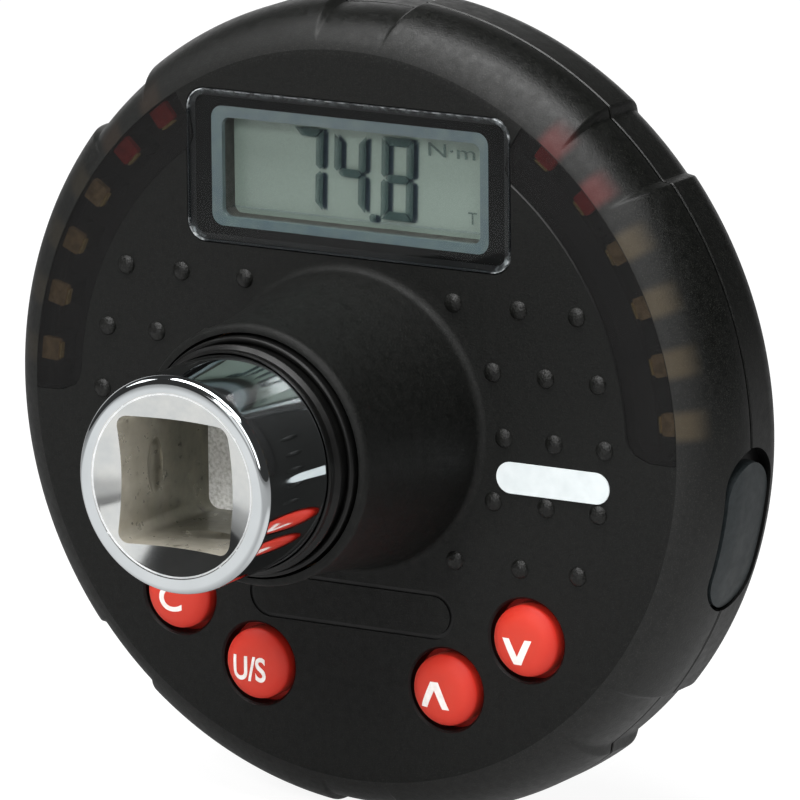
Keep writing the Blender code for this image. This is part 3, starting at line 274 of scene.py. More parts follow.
def circle(radius, centre=(0, 0), steps=32):
    """The outline of a circle."""
    return [(centre[0] + radius * math.cos(a), centre[1] + radius * math.sin(a)) for a in even(steps)]


def sector(inner, outer, start, end, corner=0.0, steps=48):
    """The outline of a piece of a ring, angles in degrees, with its inner corners rounded."""
    turns = [start + (end - start) * i / steps for i in range(steps + 1)]
    points = [polar(outer, t) for t in turns]
    for t in reversed(turns):
        near = min(t - start, end - t) * math.pi / 180 * inner
        lift = corner - math.sqrt(max(0.0, corner ** 2 - max(0.0, corner - near) ** 2))
        points.append(polar(inner + lift, t))
    return points


def plate(name, outlines, top, bottom):
    """A flat outline with any holes, given its thickness."""
    curve = bpy.data.curves.new(name, "CURVE")
    curve.dimensions = "2D"
    curve.fill_mode = "BOTH"
    curve.extrude = (top - bottom) / 2
    for outline in outlines:
        spline = curve.splines.new("POLY")
        spline.points.add(len(outline) - 1)
        for point, (x, y) in zip(spline.points, outline):
            point.co = (x, y, 0, 1)
        spline.use_cyclic_u = True
    return meshed(name, curve, Matrix.Translation((0, 0, (top + bottom) / 2)))


def loft(name, rings):
    """A closed solid through outlines with equal numbers of points, each given with its z."""
    count = len(rings[0][0])
    points = [(x, y, z) for outline, z in rings for x, y in outline]
    faces = [tuple(range(count)), tuple(range(len(points) - count, len(points)))[::-1]]
    for level in range(len(rings) - 1):
        for i in range(count):
            a, b = level * count + i, level * count + (i + 1) % count
            faces.append((a, b, b + count, a + count))
    mesh = bpy.data.meshes.new(name)
    mesh.from_pydata(points, [], faces)
    return tidy(hold(name, mesh))


def meshed(name, curve, placing):
    """Turns a curve or words into a closed mesh and then places it."""
    drawn = bpy.data.objects.new(name, curve)
    scene.collection.objects.link(drawn)
    bpy.context.view_layer.update()
    now = drawn.evaluated_get(bpy.context.evaluated_depsgraph_get())
    mesh = bpy.data.meshes.new_from_object(now)
    drop(drawn)
    obj = tidy(hold(name, mesh))
    obj.data.transform(placing)
    return obj


def words(name, text, size, placing, depth=0.06, bold=0.0):
    """Printed words as a thin solid."""
    curve = bpy.data.curves.new(name, "FONT")
    curve.body = text
    curve.size = size
    curve.align_x = "CENTER"
    curve.align_y = "CENTER"
    curve.extrude = depth / 2
    curve.offset = bold
    return meshed(name, curve, placing)


def fit_to(obj, width, height):
    """Centres a flat drawing and stretches it to a size."""
    points = np.array([v.co for v in obj.data.vertices])
    low, high = points.min(axis=0), points.max(axis=0)
    shift = Matrix.Translation(-Vector((low + high) / 2))
    span = high - low
    obj.data.transform(Matrix.Diagonal((width / span[0], height / span[1], 1, 1)) @ shift)


def gather(name, *objs):
    """Joins drawn objects into one."""
    bm = bmesh.new()
    for obj in objs:
        bm.from_mesh(obj.data)
    mesh = bpy.data.meshes.new(name)
    bm.to_mesh(mesh)
    bm.free()
    drop(*objs)
    return hold(name, mesh)


def cut_fine(obj, longest):
    """Splits edges until none is longer than the given length."""
    bm = bmesh.new()
    bm.from_mesh(obj.data)
    bmesh.ops.triangulate(bm, faces=bm.faces)
    for _ in range(5):
        long_edges = [e for e in bm.edges if e.calc_length() > longest]
        if not long_edges:
            break
        bmesh.ops.subdivide_edges(bm, edges=long_edges, cuts=1)
        bmesh.ops.triangulate(bm, faces=bm.faces)
    bm.to_mesh(obj.data)
    bm.free()
    return obj


def repeat(name, template, spots, finish):
    """Repeats a template at (x, y, z, turn) spots with Geometry Nodes and returns a plain mesh."""
    mesh = bpy.data.meshes.new(name)
    mesh.from_pydata([spot[:3] for spot in spots], [], [])
    turns = mesh.attributes.new("turn", "FLOAT", "POINT")
    turns.data.foreach_set("value", [spot[3] for spot in spots])
    carrier = hold(name, mesh)
    tree = bpy.data.node_groups.new(name + "_nodes", "GeometryNodeTree")
    face = tree.interface
    face.new_socket("Spots", in_out="INPUT", socket_type="NodeSocketGeometry")
    shape = face.new_socket("Template", in_out="INPUT", socket_type="NodeSocketObject")
    size = face.new_socket("Size", in_out="INPUT", socket_type="NodeSocketFloat")
    coat = face.new_socket("Finish", in_out="INPUT", socket_type="NodeSocketMaterial")
    face.new_socket("Result", in_out="OUTPUT", socket_type="NodeSocketGeometry")
    entry = add(tree, "NodeGroupInput").outputs
    source = add(tree, "GeometryNodeObjectInfo", links={"Object": entry["Template"]})
    turn = add(tree, "GeometryNodeInputNamedAttribute", {"Name": "turn"}, data_type="FLOAT")
    spin = add(tree, "ShaderNodeCombineXYZ", links={"Z": turn.outputs["Attribute"]})
    spread = add(tree, "GeometryNodeInstanceOnPoints", links={
        "Points": entry["Spots"], "Instance": source.outputs["Geometry"],
        "Rotation": spin, "Scale": entry["Size"],
    })
    real = add(tree, "GeometryNodeRealizeInstances", links={"Geometry": spread})
    done = add(tree, "GeometryNodeSetMaterial", links={
        "Geometry": real, "Material": entry["Finish"],
    })
    add(tree, "NodeGroupOutput", links={"Result": done})
    step = carrier.modifiers.new("repeat", "NODES")
    step.node_group = tree
    step[shape.identifier] = template
    step[size.identifier] = 1.0
    step[coat.identifier] = finish
    bake(carrier)
    drop(template)
    return carrier


# Materials.


def begin(name, **values):
    """A material with its shader's constants, and Object coordinates in millimetres."""
    finish = bpy.data.materials.new(name)
    finish.use_nodes = True
    tree = finish.node_tree
    tree.nodes.clear()
    names = {
        "metallic": "Metallic", "roughness": "Roughness", "ior": "IOR", "alpha": "Alpha",
        "sheen": "Sheen Weight", "sheen_tint": "Sheen Tint", "sheen_roughness": "Sheen Roughness",
        "coat": "Coat Weight", "coat_roughness": "Coat Roughness", "specular": "Specular IOR Level",
        "subsurface": "Subsurface Weight", "subsurface_scale": "Subsurface Scale",
        "subsurface_radius": "Subsurface Radius",
        "glow": "Emission Color", "glow_strength": "Emission Strength",
    }
    shader = add(tree, "ShaderNodeBsdfPrincipled", {names[k]: v for k, v in values.items()})
    add(tree, "ShaderNodeOutputMaterial", links={"Surface": shader})
    spot = add(tree, "ShaderNodeTexCoord").outputs["Object"]
    values = {"Scale": (1000, 1000, 1000), "Location": (0, -FACE_Y * 1000, -AXIS_Z * 1000)}
    mm = add(tree, "ShaderNodeMapping", values, {"Vector": spot})
    return finish, tree, shader, mm


def mottle(tree, mm, size, ramp):
    """A colour that drifts between the ramp's hex colours over patches of the given size in mm."""
    noise = add(tree, "ShaderNodeTexNoise", {"Scale": 1 / size, "Detail": 4.0}, {"Vector": mm})
    blend = add(tree, "ShaderNodeValToRGB", links={"Fac": noise})
    points = blend.color_ramp.elements
    for (position, code), point in zip(ramp, list(points) + [None] * len(ramp)):
        point = point or points.new(position)
        point.position = position
        point.color = linear(code)
    return blend


def grain(tree, shader, mm, size, depth, detail=2.0, strength=0.6, stretch=(1, 1, 1)):
    """Raises the surface in grains of the given size and depth in mm."""
    scaled = add(tree, "ShaderNodeMapping", {"Scale": stretch}, {"Vector": mm})
    noise = add(tree, "ShaderNodeTexNoise", {"Scale": 1 / size, "Detail": detail}, {"Vector": scaled})
    bump = add(tree, "ShaderNodeBump", {"Strength": strength, "Distance": depth / 1000}, {"Height": noise})
    join(tree, bump, shader.inputs["Normal"])


def dulled(tree, shader, mm, size, low, high, base=None):
    """Roughness that drifts between two values, or round a base, as handling leaves it."""
    noise = add(tree, "ShaderNodeTexNoise", {"Scale": 1 / size, "Detail": 3.0}, {"Vector": mm})
    span = {"From Min": 0.3, "From Max": 0.7, "To Min": low, "To Max": high}
    rough = add(tree, "ShaderNodeMapRange", span, {"Value": noise})
    if base is not None:
        rough = add(tree, "ShaderNodeMath", links={0: base, 1: rough}, operation="ADD")
    join(tree, rough, shader.inputs["Roughness"])


def smoked_black_with_painted_glints(tree, mm, pale):
    """Smoked black with painted glints: pale points about 0.1 mm across that stand for the sparkle of a
    spark-eroded texture.
    """
    ground = mottle(tree, mm, 0.45, [(0.35, "#040504"), (0.65, "#0b0c0a")])
    noise = add(tree, "ShaderNodeTexNoise", {"Scale": 1 / 0.11, "Detail": 1.0}, {"Vector": mm})
    # Painted glints: pale points mixed into the colour where the noise peaks.
    points = add(tree, "ShaderNodeMapRange", {"From Min": 0.57, "From Max": 0.71}, {"Value": noise})
    mixed = add(tree, "ShaderNodeMix", {7: linear(pale)}, {0: points, 6: ground}, data_type="RGBA")
    return mixed.outputs[2]


def paint(tree, shader, colour):
    """Links a pattern to the shader's colour."""
    join(tree, colour, shader.inputs["Base Color"])


def simple(name, ramp, size, roughness, grains=None, **values):
    """A finish with a drifting colour, drifting roughness and any grain (size, depth) in mm."""
    finish, tree, shader, mm = begin(name, **values)
    paint(tree, shader, mottle(tree, mm, size, ramp))
    dulled(tree, shader, mm, size * 2.3, *roughness)
    if grains:
        grain(tree, shader, mm, *grains)
    return finish


def make_textured_black():
    """Polycarbonate, moulded in a spark-eroded tool: smoked black, matte, with a fine painted sparkle."""
    finish, tree, shader, mm = begin("smoked_polycarbonate_spark_textured", ior=1.58, specular=0.22)
    paint(tree, shader, smoked_black_with_painted_glints(tree, mm, "#1d1e1b"))
    dulled(tree, shader, mm, 1.0, 0.54, 0.68)
    grain(tree, shader, mm, 0.24, 0.05)
    return finish


textured_black = make_textured_black()
# The same moulding without grain in its wells and recesses: smoother and darker.
smooth_black = simple(
    "smoked_polycarbonate_smooth_wall", [(0.3, "#040404"), (0.7, "#090908")], 1.5, (0.38, 0.5), ior=1.58,
    specular=0.3,
)
# Crowns of the raised dots, rubbed smoother than the face, so that each one catches a small light.
dot_black = simple(
    "smoked_polycarbonate_rubbed", [(0.35, "#050504"), (0.7, "#11120f")], 0.3, (0.36, 0.56), (0.26, 0.14),
    ior=1.58, specular=0.28,
)


def make_rim_finish():
    """Polycarbonate rim, moulded satin: matte at the face, smoother down its side, with a painted glow of the
    lights under it.
    """
    finish, tree, shader, mm = begin("smoked_polycarbonate_satin_rim", ior=1.58, specular=0.36)
    # Painted glints over the smoked black, as on the face.
    ground = smoked_black_with_painted_glints(tree, mm, "#22231f")
    x, depth, z = add(tree, "ShaderNodeSeparateXYZ", links={"Vector": mm}).outputs
    side = add(tree, "ShaderNodeMath", links={0: x}, operation="ABSOLUTE")
    angle = add(tree, "ShaderNodeMath", links={0: z, 1: side}, operation="ARCTAN2")
    degrees = add(tree, "ShaderNodeMath", {1: 180 / math.pi}, {0: angle}, operation="MULTIPLY")
    half = LIGHT_STEP / 2
    away = degrees
    for operation, amount in (
        ("SUBTRACT", LIGHTS[0] - half), ("FLOORED_MODULO", LIGHT_STEP), ("SUBTRACT", half), ("ABSOLUTE", 0),
    ):
        away = add(tree, "ShaderNodeMath", {1: amount}, {0: away}, operation=operation)
    fades = []
    for value, start, end, first, last, kind in (
        (away, 1.2, 3.0, 1.0, 0.0, "SMOOTHSTEP"),
        (depth, 0.5, 2.6, 1.0, 0.0, "SMOOTHSTEP"),
        (degrees, LIGHTS[0] - 5, LIGHTS[0] - 4, 0.0, 1.0, "LINEAR"),
        (degrees, LIGHTS[-1] + 3.5, LIGHTS[-1] + 4.5, 1.0, 0.0, "LINEAR"),
        (x, -5.0, 5.0, 0.25, 1.0, "LINEAR"),
        (degrees, 37.5, 38.5, 0.0, 1.0, "LINEAR"),
        (depth, 0.0, 3.5, 0.62, 0.40, "SMOOTHSTEP"),
    ):
        span = {"From Min": start, "From Max": end, "To Min": first, "To Max": last}
        fades.append(add(tree, "ShaderNodeMapRange", span, {"Value": value}, interpolation_type=kind))
    across, deep, low_end, high_end, lit_side, reds, smoother = fades
    mask = across
    for part in (deep, low_end, high_end, lit_side):
        mask = add(tree, "ShaderNodeMath", links={0: mask, 1: part}, operation="MULTIPLY")
    reds = add(tree, "ShaderNodeMath", links={0: reds, 1: lit_side}, operation="MULTIPLY")
    # Painted glow: soft amber and red patches at the lights' angles stand for the lights seen through the
    # rim, stronger on the right side.
    glows = {6: linear("#584a30"), 7: linear("#6e2422")}
    painted_glow = add(tree, "ShaderNodeMix", glows, {0: reds}, data_type="RGBA").outputs[2]
    share = add(tree, "ShaderNodeMath", {1: 0.36}, {0: mask}, operation="MULTIPLY")
    whole = add(tree, "ShaderNodeMix", links={0: share, 6: ground, 7: painted_glow}, data_type="RGBA")
    paint(tree, shader, whole.outputs[2])
    dulled(tree, shader, mm, 0.8, -0.06, 0.06, smoother)
    grain(tree, shader, mm, 0.2, 0.03)
    return finish


satin_rim = make_rim_finish()
# Satin polycarbonate window over the lights: smoky, and clear enough to show what is under it.
light_window_finish = simple(
    "smoked_polycarbonate_satin_window", [(0.3, "#050505"), (0.7, "#0b0a09")], 4.0,
    (0.50, 0.62), ior=1.58, alpha=0.60, specular=0.34,
)
# Nitrile rubber, compression moulded: matte black that goes grey where it catches light.
rubber = simple(
    "nitrile_rubber_moulded", [(0.3, "#060606"), (0.7, "#0d0d0c")], 1.2, (0.34, 0.46), (0.12, 0.006),
    ior=1.52, specular=0.3,
)


def make_silicone():
    """Silicone rubber, moulded: matte salmon red, with a painted highlight that pales the crown, and glowing
    at the edge.
    """
    finish, tree, shader, mm = begin(
        "silicone_rubber_moulded_red", ior=1.43, subsurface=0.25, subsurface_scale=0.001,
        subsurface_radius=(1.0, 0.25, 0.12), sheen=0.12, sheen_roughness=0.4,
        sheen_tint=linear("#ffb09a"),
    )
    crown = add(tree, "ShaderNodeAttribute", attribute_name="crown").outputs["Fac"]
    # Painted highlight: the ramp runs from darker red at the rim to paler red at the crown.
    blend = add(tree, "ShaderNodeValToRGB", links={"Fac": crown})
    points = blend.color_ramp.elements
    points[0].color = linear("#bc1f0f")
    points[1].color = linear("#c43724")
    points.new(0.45).color = linear("#c8311f")
    paint(tree, shader, blend)
    dulled(tree, shader, mm, 0.9, 0.52, 0.64)
    grain(tree, shader, mm, 0.1, 0.006)
    return finish


silicone = make_silicone()
# Pad-printed ink: dense warm white, slightly uneven.
ink = simple("white_ink_pad_printed", [(0.3, "#e2dad4"), (0.7, "#f4efec")], 0.6, (0.45, 0.6), ior=1.5)
# Chrome plate over polished steel: near-mirror, with faint haze from handling.
chrome = simple(
    "steel_chrome_plated_polished", [(0.3, "#cfd4d6"), (0.7, "#dadee0")], 6.0, (0.03, 0.07), metallic=1.0
)


def make_broached():
    """Thin plate inside the broached square: warm nickel grey with dark specks, with painted shade darkening
    it further in.
    """
    finish, tree, shader, mm = begin("steel_nickel_plated_broached", metallic=0.7)
    near_mouth_colour = mottle(tree, mm, 1.6, [(0.27, "#8d8676"), (0.36, "#d8d2c3"), (0.8, "#f0eadc")])
    deep_shade_colour = mottle(tree, mm, 1.4, [(0.26, "#2c2b24"), (0.36, "#66655a"), (0.8, "#7c7a6c")])
    # Painted shade: the colour darkens from the mouth inwards, as less light reaches in.
    depth = add(tree, "ShaderNodeSeparateXYZ", links={"Vector": mm}).outputs[1]
    span = {"From Min": -33.6, "From Max": -21.0}
    inward = add(tree, "ShaderNodeMapRange", span, {"Value": depth}, interpolation_type="SMOOTHSTEP")
    mixed = add(tree, "ShaderNodeMix", links={0: inward, 6: near_mouth_colour, 7: deep_shade_colour}, data_type="RGBA")
    paint(tree, shader, mixed.outputs[2])
    dulled(tree, shader, mm, 1.2, 0.26, 0.38)
    grain(tree, shader, mm, 0.5, 0.012)
    return finish


broached = make_broached()
# Chamfer of the socket's mouth: the same plate, a softer mirror since squares have rubbed it.
mouth_chrome = simple(
    "steel_chrome_plated_dulled", [(0.3, "#cfd2d2"), (0.7, "#dedfdc")], 2.0, (0.08, 0.15), metallic=1.0
)
# Edge of the socket's mouth: rubbed pale by sockets and bars, and painted paler still as the thin highlight
# its edge catches.
worn_and_highlight_chrome = simple(
    "steel_chrome_plated_worn_edge_painted_highlight", [(0.3, "#dfe3e4"), (0.7, "#fbfcfc")], 1.0, (0.25, 0.45), metallic=0.7
)
# Drilled floor of the square hole: grainy, with a painted reflection: near-white and hardly metallic, so that
# it shows as bright as the light it catches.
bored = simple(
    "steel_nickel_plated_drilled", [(0.3, "#c4c4be"), (0.6, "#fdfdfb")], 0.4, (0.3, 0.5),
    (0.25, 0.05), metallic=0.1,
)
# Satin turned steel on the far end of the shaft, with fine rings left by the tool.
turned_steel = simple(
    "steel_chrome_plated_satin", [(0.3, "#b9bdbf"), (0.7, "#cfd2d4")], 3.0, (0.16, 0.26),
    (0.15, 0.004, 2.0, 0.5, (1, 6, 1)), metallic=1.0,
)
# Bearing steel, ground and lapped: a hard mirror.
ball_steel = simple(
    "bearing_steel_lapped", [(0.3, "#c4c6c8"), (0.7, "#d2d4d6")], 1.0, (0.05, 0.1), metallic=1.0
)
# Spring steel, phosphated: dark grey with a dry, crystalline look.
spring_steel = simple(
    "spring_steel_phosphated", [(0.3, "#2a2b2c"), (0.7, "#43454a")], 0.4, (0.35, 0.55), (0.12, 0.01),
    metallic=1.0,
)
# Zinc-plated screw heads: bluish bright with small stains.
zinc = simple(
    "steel_zinc_plated", [(0.3, "#8f959b"), (0.7, "#c3c9cf")], 0.7, (0.22, 0.4), (0.3, 0.006), metallic=1.0
)
# Nickel-plated cell can, drawn: bright warm grey with a fine tooth.
cell_can = simple(
    "steel_nickel_plated_drawn", [(0.3, "#a3a39f"), (0.7, "#c6c5bf")], 0.5, (0.2, 0.34), (0.1, 0.004),
    metallic=1.0,
)
# Phosphor bronze contact, gold-plated: warm yellow metal with thin patches.
gold = simple(
    "phosphor_bronze_gold_plated", [(0.3, "#b98a3e"), (0.7, "#e4bd6a")], 0.5, (0.2, 0.38), (0.25, 0.02),
    metallic=1.0,
)
# The same contact beside a lamp, with the lamp's stray light painted on it as a bright glint and a faint
# glow.
lit_gold = simple(
    "phosphor_bronze_gold_plated_lit", [(0.42, "#5a4424"), (0.56, "#f0d796")], 0.35, (0.15, 0.3),
    (0.25, 0.05), metallic=0.8, glow=linear("#c8a868"), glow_strength=0.25,
)
# Sintered bronze bush, oil-soaked: brown metal with open pores.
bronze = simple(
    "bronze_sintered", [(0.35, "#3d2a1a"), (0.6, "#8a6138")], 0.2, (0.35, 0.55), (0.15, 0.03), metallic=1.0
)
# Acrylic pane, cast and polished: clear with a hard gloss and hardly any colour.
pane_finish = simple(
    "acrylic_pane_polished", [(0.3, "#0b0d0d"), (0.7, "#111414")], 8.0, (0.015, 0.04), ior=1.49, alpha=0.10
)
# Black ink screen-printed behind the pane: deep glossy black.
mask_ink = simple(
    "black_ink_screen_printed", [(0.3, "#040404"), (0.7, "#080909")], 2.0, (0.3, 0.42), ior=1.5,
    specular=0.15, coat=0.3, coat_roughness=0.03,
)


def make_adhesive(name, ground, pale, alpha):
    """Pale where light gathers: in the pane's round corners and along its upper edge."""
    finish, tree, shader, mm = begin(name, ior=1.47, alpha=alpha)
    axes = add(tree, "ShaderNodeSeparateXYZ", links={"Vector": mm}).outputs
    across = add(tree, "ShaderNodeMath", links={0: axes[0]}, operation="ABSOLUTE")
    from_middle = add(tree, "ShaderNodeMath", {1: WINDOW_Y}, {0: axes[2]}, operation="SUBTRACT")
    up = add(tree, "ShaderNodeMath", links={0: from_middle}, operation="ABSOLUTE")
    reach = add(tree, "ShaderNodeMath", {1: 11.0}, {0: up}, operation="ADD")
    both = add(tree, "ShaderNodeMath", links={0: across, 1: reach}, operation="ADD")
    patches = add(tree, "ShaderNodeTexNoise", {"Scale": 1.3, "Detail": 3.0}, {"Vector": mm})
    parts = []
    for value, start, end, first, last in (
        (both, 35.2, 35.9, 0.0, 1.0), (from_middle, 7.2, 7.7, 0.0, 0.36), (patches, 0.44, 0.60, 0.1, 1.0),
    ):
        span = {"From Min": start, "From Max": end, "To Min": first, "To Max": last}
        parts.append(add(tree, "ShaderNodeMapRange", span, {"Value": value}))
    corner, edge, broken = parts
    most = add(tree, "ShaderNodeMath", links={0: corner, 1: edge}, operation="MAXIMUM")
    share = add(tree, "ShaderNodeMath", links={0: most, 1: broken}, operation="MULTIPLY")
    mixed = add(tree, "ShaderNodeMix", {6: linear(ground), 7: linear(pale)}, {0: share}, data_type="RGBA")
    paint(tree, shader, mixed.outputs[2])
    dulled(tree, shader, mm, 0.8, 0.3, 0.5)
    return finish


# Contact adhesive at the pane's edge: nearly black, with painted light making it grey in the round corners.
adhesive = make_adhesive("acrylic_adhesive_film", "#121415", "#9aa2a5", 1.0)
# Sawn and polished edge of the acrylic pane, which gathers light and shows it as pale streaks.
pane_edge = make_adhesive("acrylic_edge_polished", "#24282a", "#d4dadc", 0.7)
# Blue-grey ink, screen-printed round the liquid crystal: an even colour under a hard gloss.
border_ink = simple(
    "blue_grey_ink_screen_printed", [(0.3, "#4e5f65"), (0.7, "#5a6a6a")], 1.5, (0.3, 0.4), ior=1.5,
    coat=0.8, coat_roughness=0.03,
)
# Epoxy that seals the cell's side walls: dull, dark warm grey.
cell_edge = simple("epoxy_cell_seal", [(0.3, "#2c2c29"), (0.7, "#484843")], 0.8, (0.4, 0.6), ior=1.55)


def make_reflector():
    """Reflector film behind the liquid crystal, laminated: glossy grey-green, with painted shade that darkens
    it towards the left.
    """
    finish, tree, shader, mm = begin("reflector_film_grey_green", ior=1.5, coat=1.0, coat_roughness=0.03)
    fine = mottle(tree, mm, 0.12, [(0.3, "#82938a"), (0.7, "#8d9f94")])
    x = add(tree, "ShaderNodeSeparateXYZ", links={"Vector": mm}).outputs["X"]
    # Painted shade: the value falls towards the left edge, where the cell's wall shades the film.
    span = {"From Min": -15.0, "From Max": 15.0, "To Min": 0.86, "To Max": 1.0}
    across = add(tree, "ShaderNodeMapRange", span, {"Value": x})
    paint(tree, shader, add(tree, "ShaderNodeHueSaturation", links={"Color": fine, "Value": across}))
    dulled(tree, shader, mm, 0.5, 0.45, 0.6)
    return finish


reflector_finish = make_reflector()
# Liquid crystal, driven: dark green-grey segments that let the reflector through.
segment_finish = simple(
    "liquid_crystal_driven", [(0.3, "#3c5552"), (0.7, "#48605c")], 0.9, (0.3, 0.45), ior=1.55, alpha=0.48
)
# Soft blue-grey shadow of the segments on the reflector.
shadow_finish = simple(
    "liquid_crystal_shadow", [(0.3, "#52697a"), (0.7, "#5b7080")], 0.9, (0.5, 0.6), ior=1.55, alpha=0.09
)
# Acrylonitrile-butadiene-styrene, moulded: satin black.
abs_black = simple(
    "abs_moulded_satin_black", [(0.3, "#0f0f0f"), (0.7, "#1b1b1a")], 0.5, (0.40, 0.54), (0.2, 0.025), ior=1.53
)
# Glass-epoxy board with printed solder mask: dark green, uneven over the glass cloth under it.
board_finish = simple(
    "glass_epoxy_solder_mask", [(0.3, "#072a16"), (0.7, "#0d3d22")], 0.5, (0.22, 0.38), (0.4, 0.01), ior=1.55
)
# Polyimide film, laminated: glossy amber, darker over the copper in it.
film_finish = simple("polyimide_film", [(0.4, "#6e3a08"), (0.6, "#a8620f")], 0.5, (0.22, 0.36), ior=1.7)
# Epoxy lens, cast: warm amber that looks dim until it is lit, with a faint painted glow.
amber_lens = simple(
    "epoxy_lens_amber", [(0.35, "#9a7a50"), (0.65, "#e0bf8c")], 0.9, (0.15, 0.35), (0.5, 0.05), ior=1.55,
    glow=linear("#c09a66"), glow_strength=0.12,
)
# Epoxy lens, cast and dyed: deep red until it is lit, with a faint painted glow.
red_lens = simple(
    "epoxy_lens_red", [(0.35, "#c01a1a"), (0.65, "#f04038")], 0.9, (0.15, 0.35), (0.5, 0.05), ior=1.55,
    glow=linear("#d02020"), glow_strength=0.12,
)
# Soft thermoplastic plug, moulded: blue-grey satin.
plug_finish = simple(
    "thermoplastic_elastomer_moulded", [(0.3, "#1d2325"), (0.7, "#282e30")], 0.6, (0.42, 0.55),
    (0.15, 0.012), ior=1.5, sheen=0.04, specular=0.35,
)
# Vinyl label film, matte laminated: blank white without a gleam.
label_finish = simple(
    "vinyl_film_matte_white", [(0.3, "#c6cdce"), (0.7, "#d4dadb")], 2.0, (0.45, 0.6), ior=1.5
)
# Paint wiped into the marks of the covers: flat pale grey.
mark_paint = simple(
    "pale_grey_paint_infill", [(0.3, "#b4b6b6"), (0.7, "#c8caca")], 0.5, (0.5, 0.6), ior=1.5
)


# Shells.


def grip_press(radius, height, turn):
    """How far the rim is pressed in at the six grips."""
    flat = np.where(height > WIDEST, FACE, RIM - 4.0)
    floor = (radius - flat) * 0.9 / (RIM - flat) - 0.15
    away = np.min([np.abs((turn - g + math.pi) % math.tau - math.pi) for g in GRIPS], axis=0)
    wall = (np.degrees(away) - 5.7) / 2.6 * 1.75
    soft = 0.08
    wall = (wall + np.sqrt(wall ** 2 + soft ** 2)) / 2
    depth = floor - wall
    pressed = (depth + np.sqrt(depth ** 2 + soft ** 2)) / 2
    outer = (radius > FACE - 0.001) & (height < 0.001)
    return np.where(outer, np.where(depth > -1.0, pressed, 0), 0)


def shell_angles():
    """Steps round the shells, closer at the sides of the grips."""
    turns = set(round(a, 3) for a in np.arange(0, 360, 1.0))
    for grip in GRIPS:
        for side in (-1, 1):
            for off in np.arange(5.2, 7.7, 0.16):
                turns.add(round((math.degrees(grip) + side * off) % 360, 3))
    return [math.radians(a) for a in sorted(turns)]


def front_profile():
    """Boss, flat face and rim of the front shell, then its inner side."""
    outer = [(12.42, 18.7)] + arc(12.5, 17.9, 0.8, 90, 0, 6)
    outer += [(13.32, 14.0), (13.9, 9.0), (14.6, 3.5)]
    outer += arc(16.05, 0.9, 0.9, 180, 270, 6) + [(17.2, 0), (24.0, 0), (31.0, 0)]
    blend = ARC_START - 9
    end_r, end_z = arc(RIM - ARC_RADIUS, WIDEST, ARC_RADIUS, blend, 0, 1)[0]
    reach = -end_z / math.cos(math.radians(blend))
    turn_r = end_r - reach * math.sin(math.radians(blend))
    for t in (0, 0.15, 0.3, 0.45, 0.6, 0.75, 0.9):
        across = (1 - t) ** 2 * (turn_r - reach) + 2 * t * (1 - t) * turn_r + t ** 2 * end_r
        outer.append((across, t ** 2 * end_z))
    outer += arc(RIM - ARC_RADIUS, WIDEST, ARC_RADIUS, blend, 0, 24)
    outer += [(RIM, -7.08), (RIM - 0.12, PARTING)]
    inner = [(40.0, PARTING), (39.9, -6.0), (38.9, -3.6), (37.2, -2.0), (12.7, -2.0)]
    return outer + inner + [(12.7, 14.0), (12.42, 14.0)]


def well_cutter(radius, centre, bottom, edge=0.22):
    """A round well with a small chamfer at the face."""
    profile = [(0, 1), (radius + edge + 1, 1), (radius, -edge), (radius, bottom), (0, bottom)]
    return revolve("well", profile, 64, False, centre)


def rim_core(sink, grow, steps):
    """The body's shape, smaller by a depth, from which the pocket and the plug get their outer faces."""
    outline = [(0, -sink)] + arc(RIM - ARC_RADIUS, WIDEST, ARC_RADIUS - sink, ARC_START + grow, 0, 24)
    outline += arc(RIM - 4, BACK + 4, 4 - sink, 0, -90, 12) + [(0, BACK + sink)]
    return revolve("core", outline, steps, False)


def pocket_cutter():
    """The oval pocket in the rim for the plug, longer at its top so that a fingernail gets in."""
    length, width, sink = 17.3, 7.9, 1.3
    pill = plate("pocket", [round_box(length, width, width / 2 - 0.02, (0.6, 0.15), 16)], RIM + 2, 30.0)
    turn_to_rim(pill)
    return carve(pill, "DIFFERENCE", rim_core(sink, 3, 240))


def turn_to_rim(obj):
    """Turns a shape drawn flat so that its z points out of the rim at the port."""
    around = Matrix.Rotation(math.radians(PORT_ANGLE) + math.pi / 2, 4, "Z")
    obj.data.transform(Matrix.Translation((0, 0, PORT_Z)) @ around @ Matrix.Rotation(math.pi / 2, 4, "X"))


def mirrored(points):
    """An outline on the other side of the face."""
    return [(-x, y) for x, y in reversed(points)]


def light_outline(mirror, grow=0.0, inner=0.0):
    """The outline of a light window."""
    points = sector(
        WINDOW_INNER - grow - inner, 37.47 + grow, LIGHT_START - 2 * grow, LIGHT_END + 2 * grow, 2.4
    )
    return mirrored(points) if mirror else points


def begin_shell(name, profile, rim_start, rim_low, rim_high):
    """A turned shell with its grips, and the rim's finish on its rim."""
    shell = revolve(name, profile, press=grip_press, angles=shell_angles())
    for finish in (textured_black, satin_rim, smooth_black):
        shell.data.materials.append(finish)
    for face in shell.data.polygons:
        radius = math.hypot(face.center.x, face.center.y)
        face.material_index = 1 if radius > rim_start and rim_low < face.center.z < rim_high else 0
    return shell


def finish_shell(shell, cutters, node):
    """Cuts the openings of a shell, with smooth walls, and puts it in its place."""
    for cutter in cutters:
        cutter.data.materials.clear()
        cutter.data.materials.append(smooth_black)
    carve(shell, "DIFFERENCE", *cutters)
    place(shell, "gauge", None, "smoked_black_shell", node)


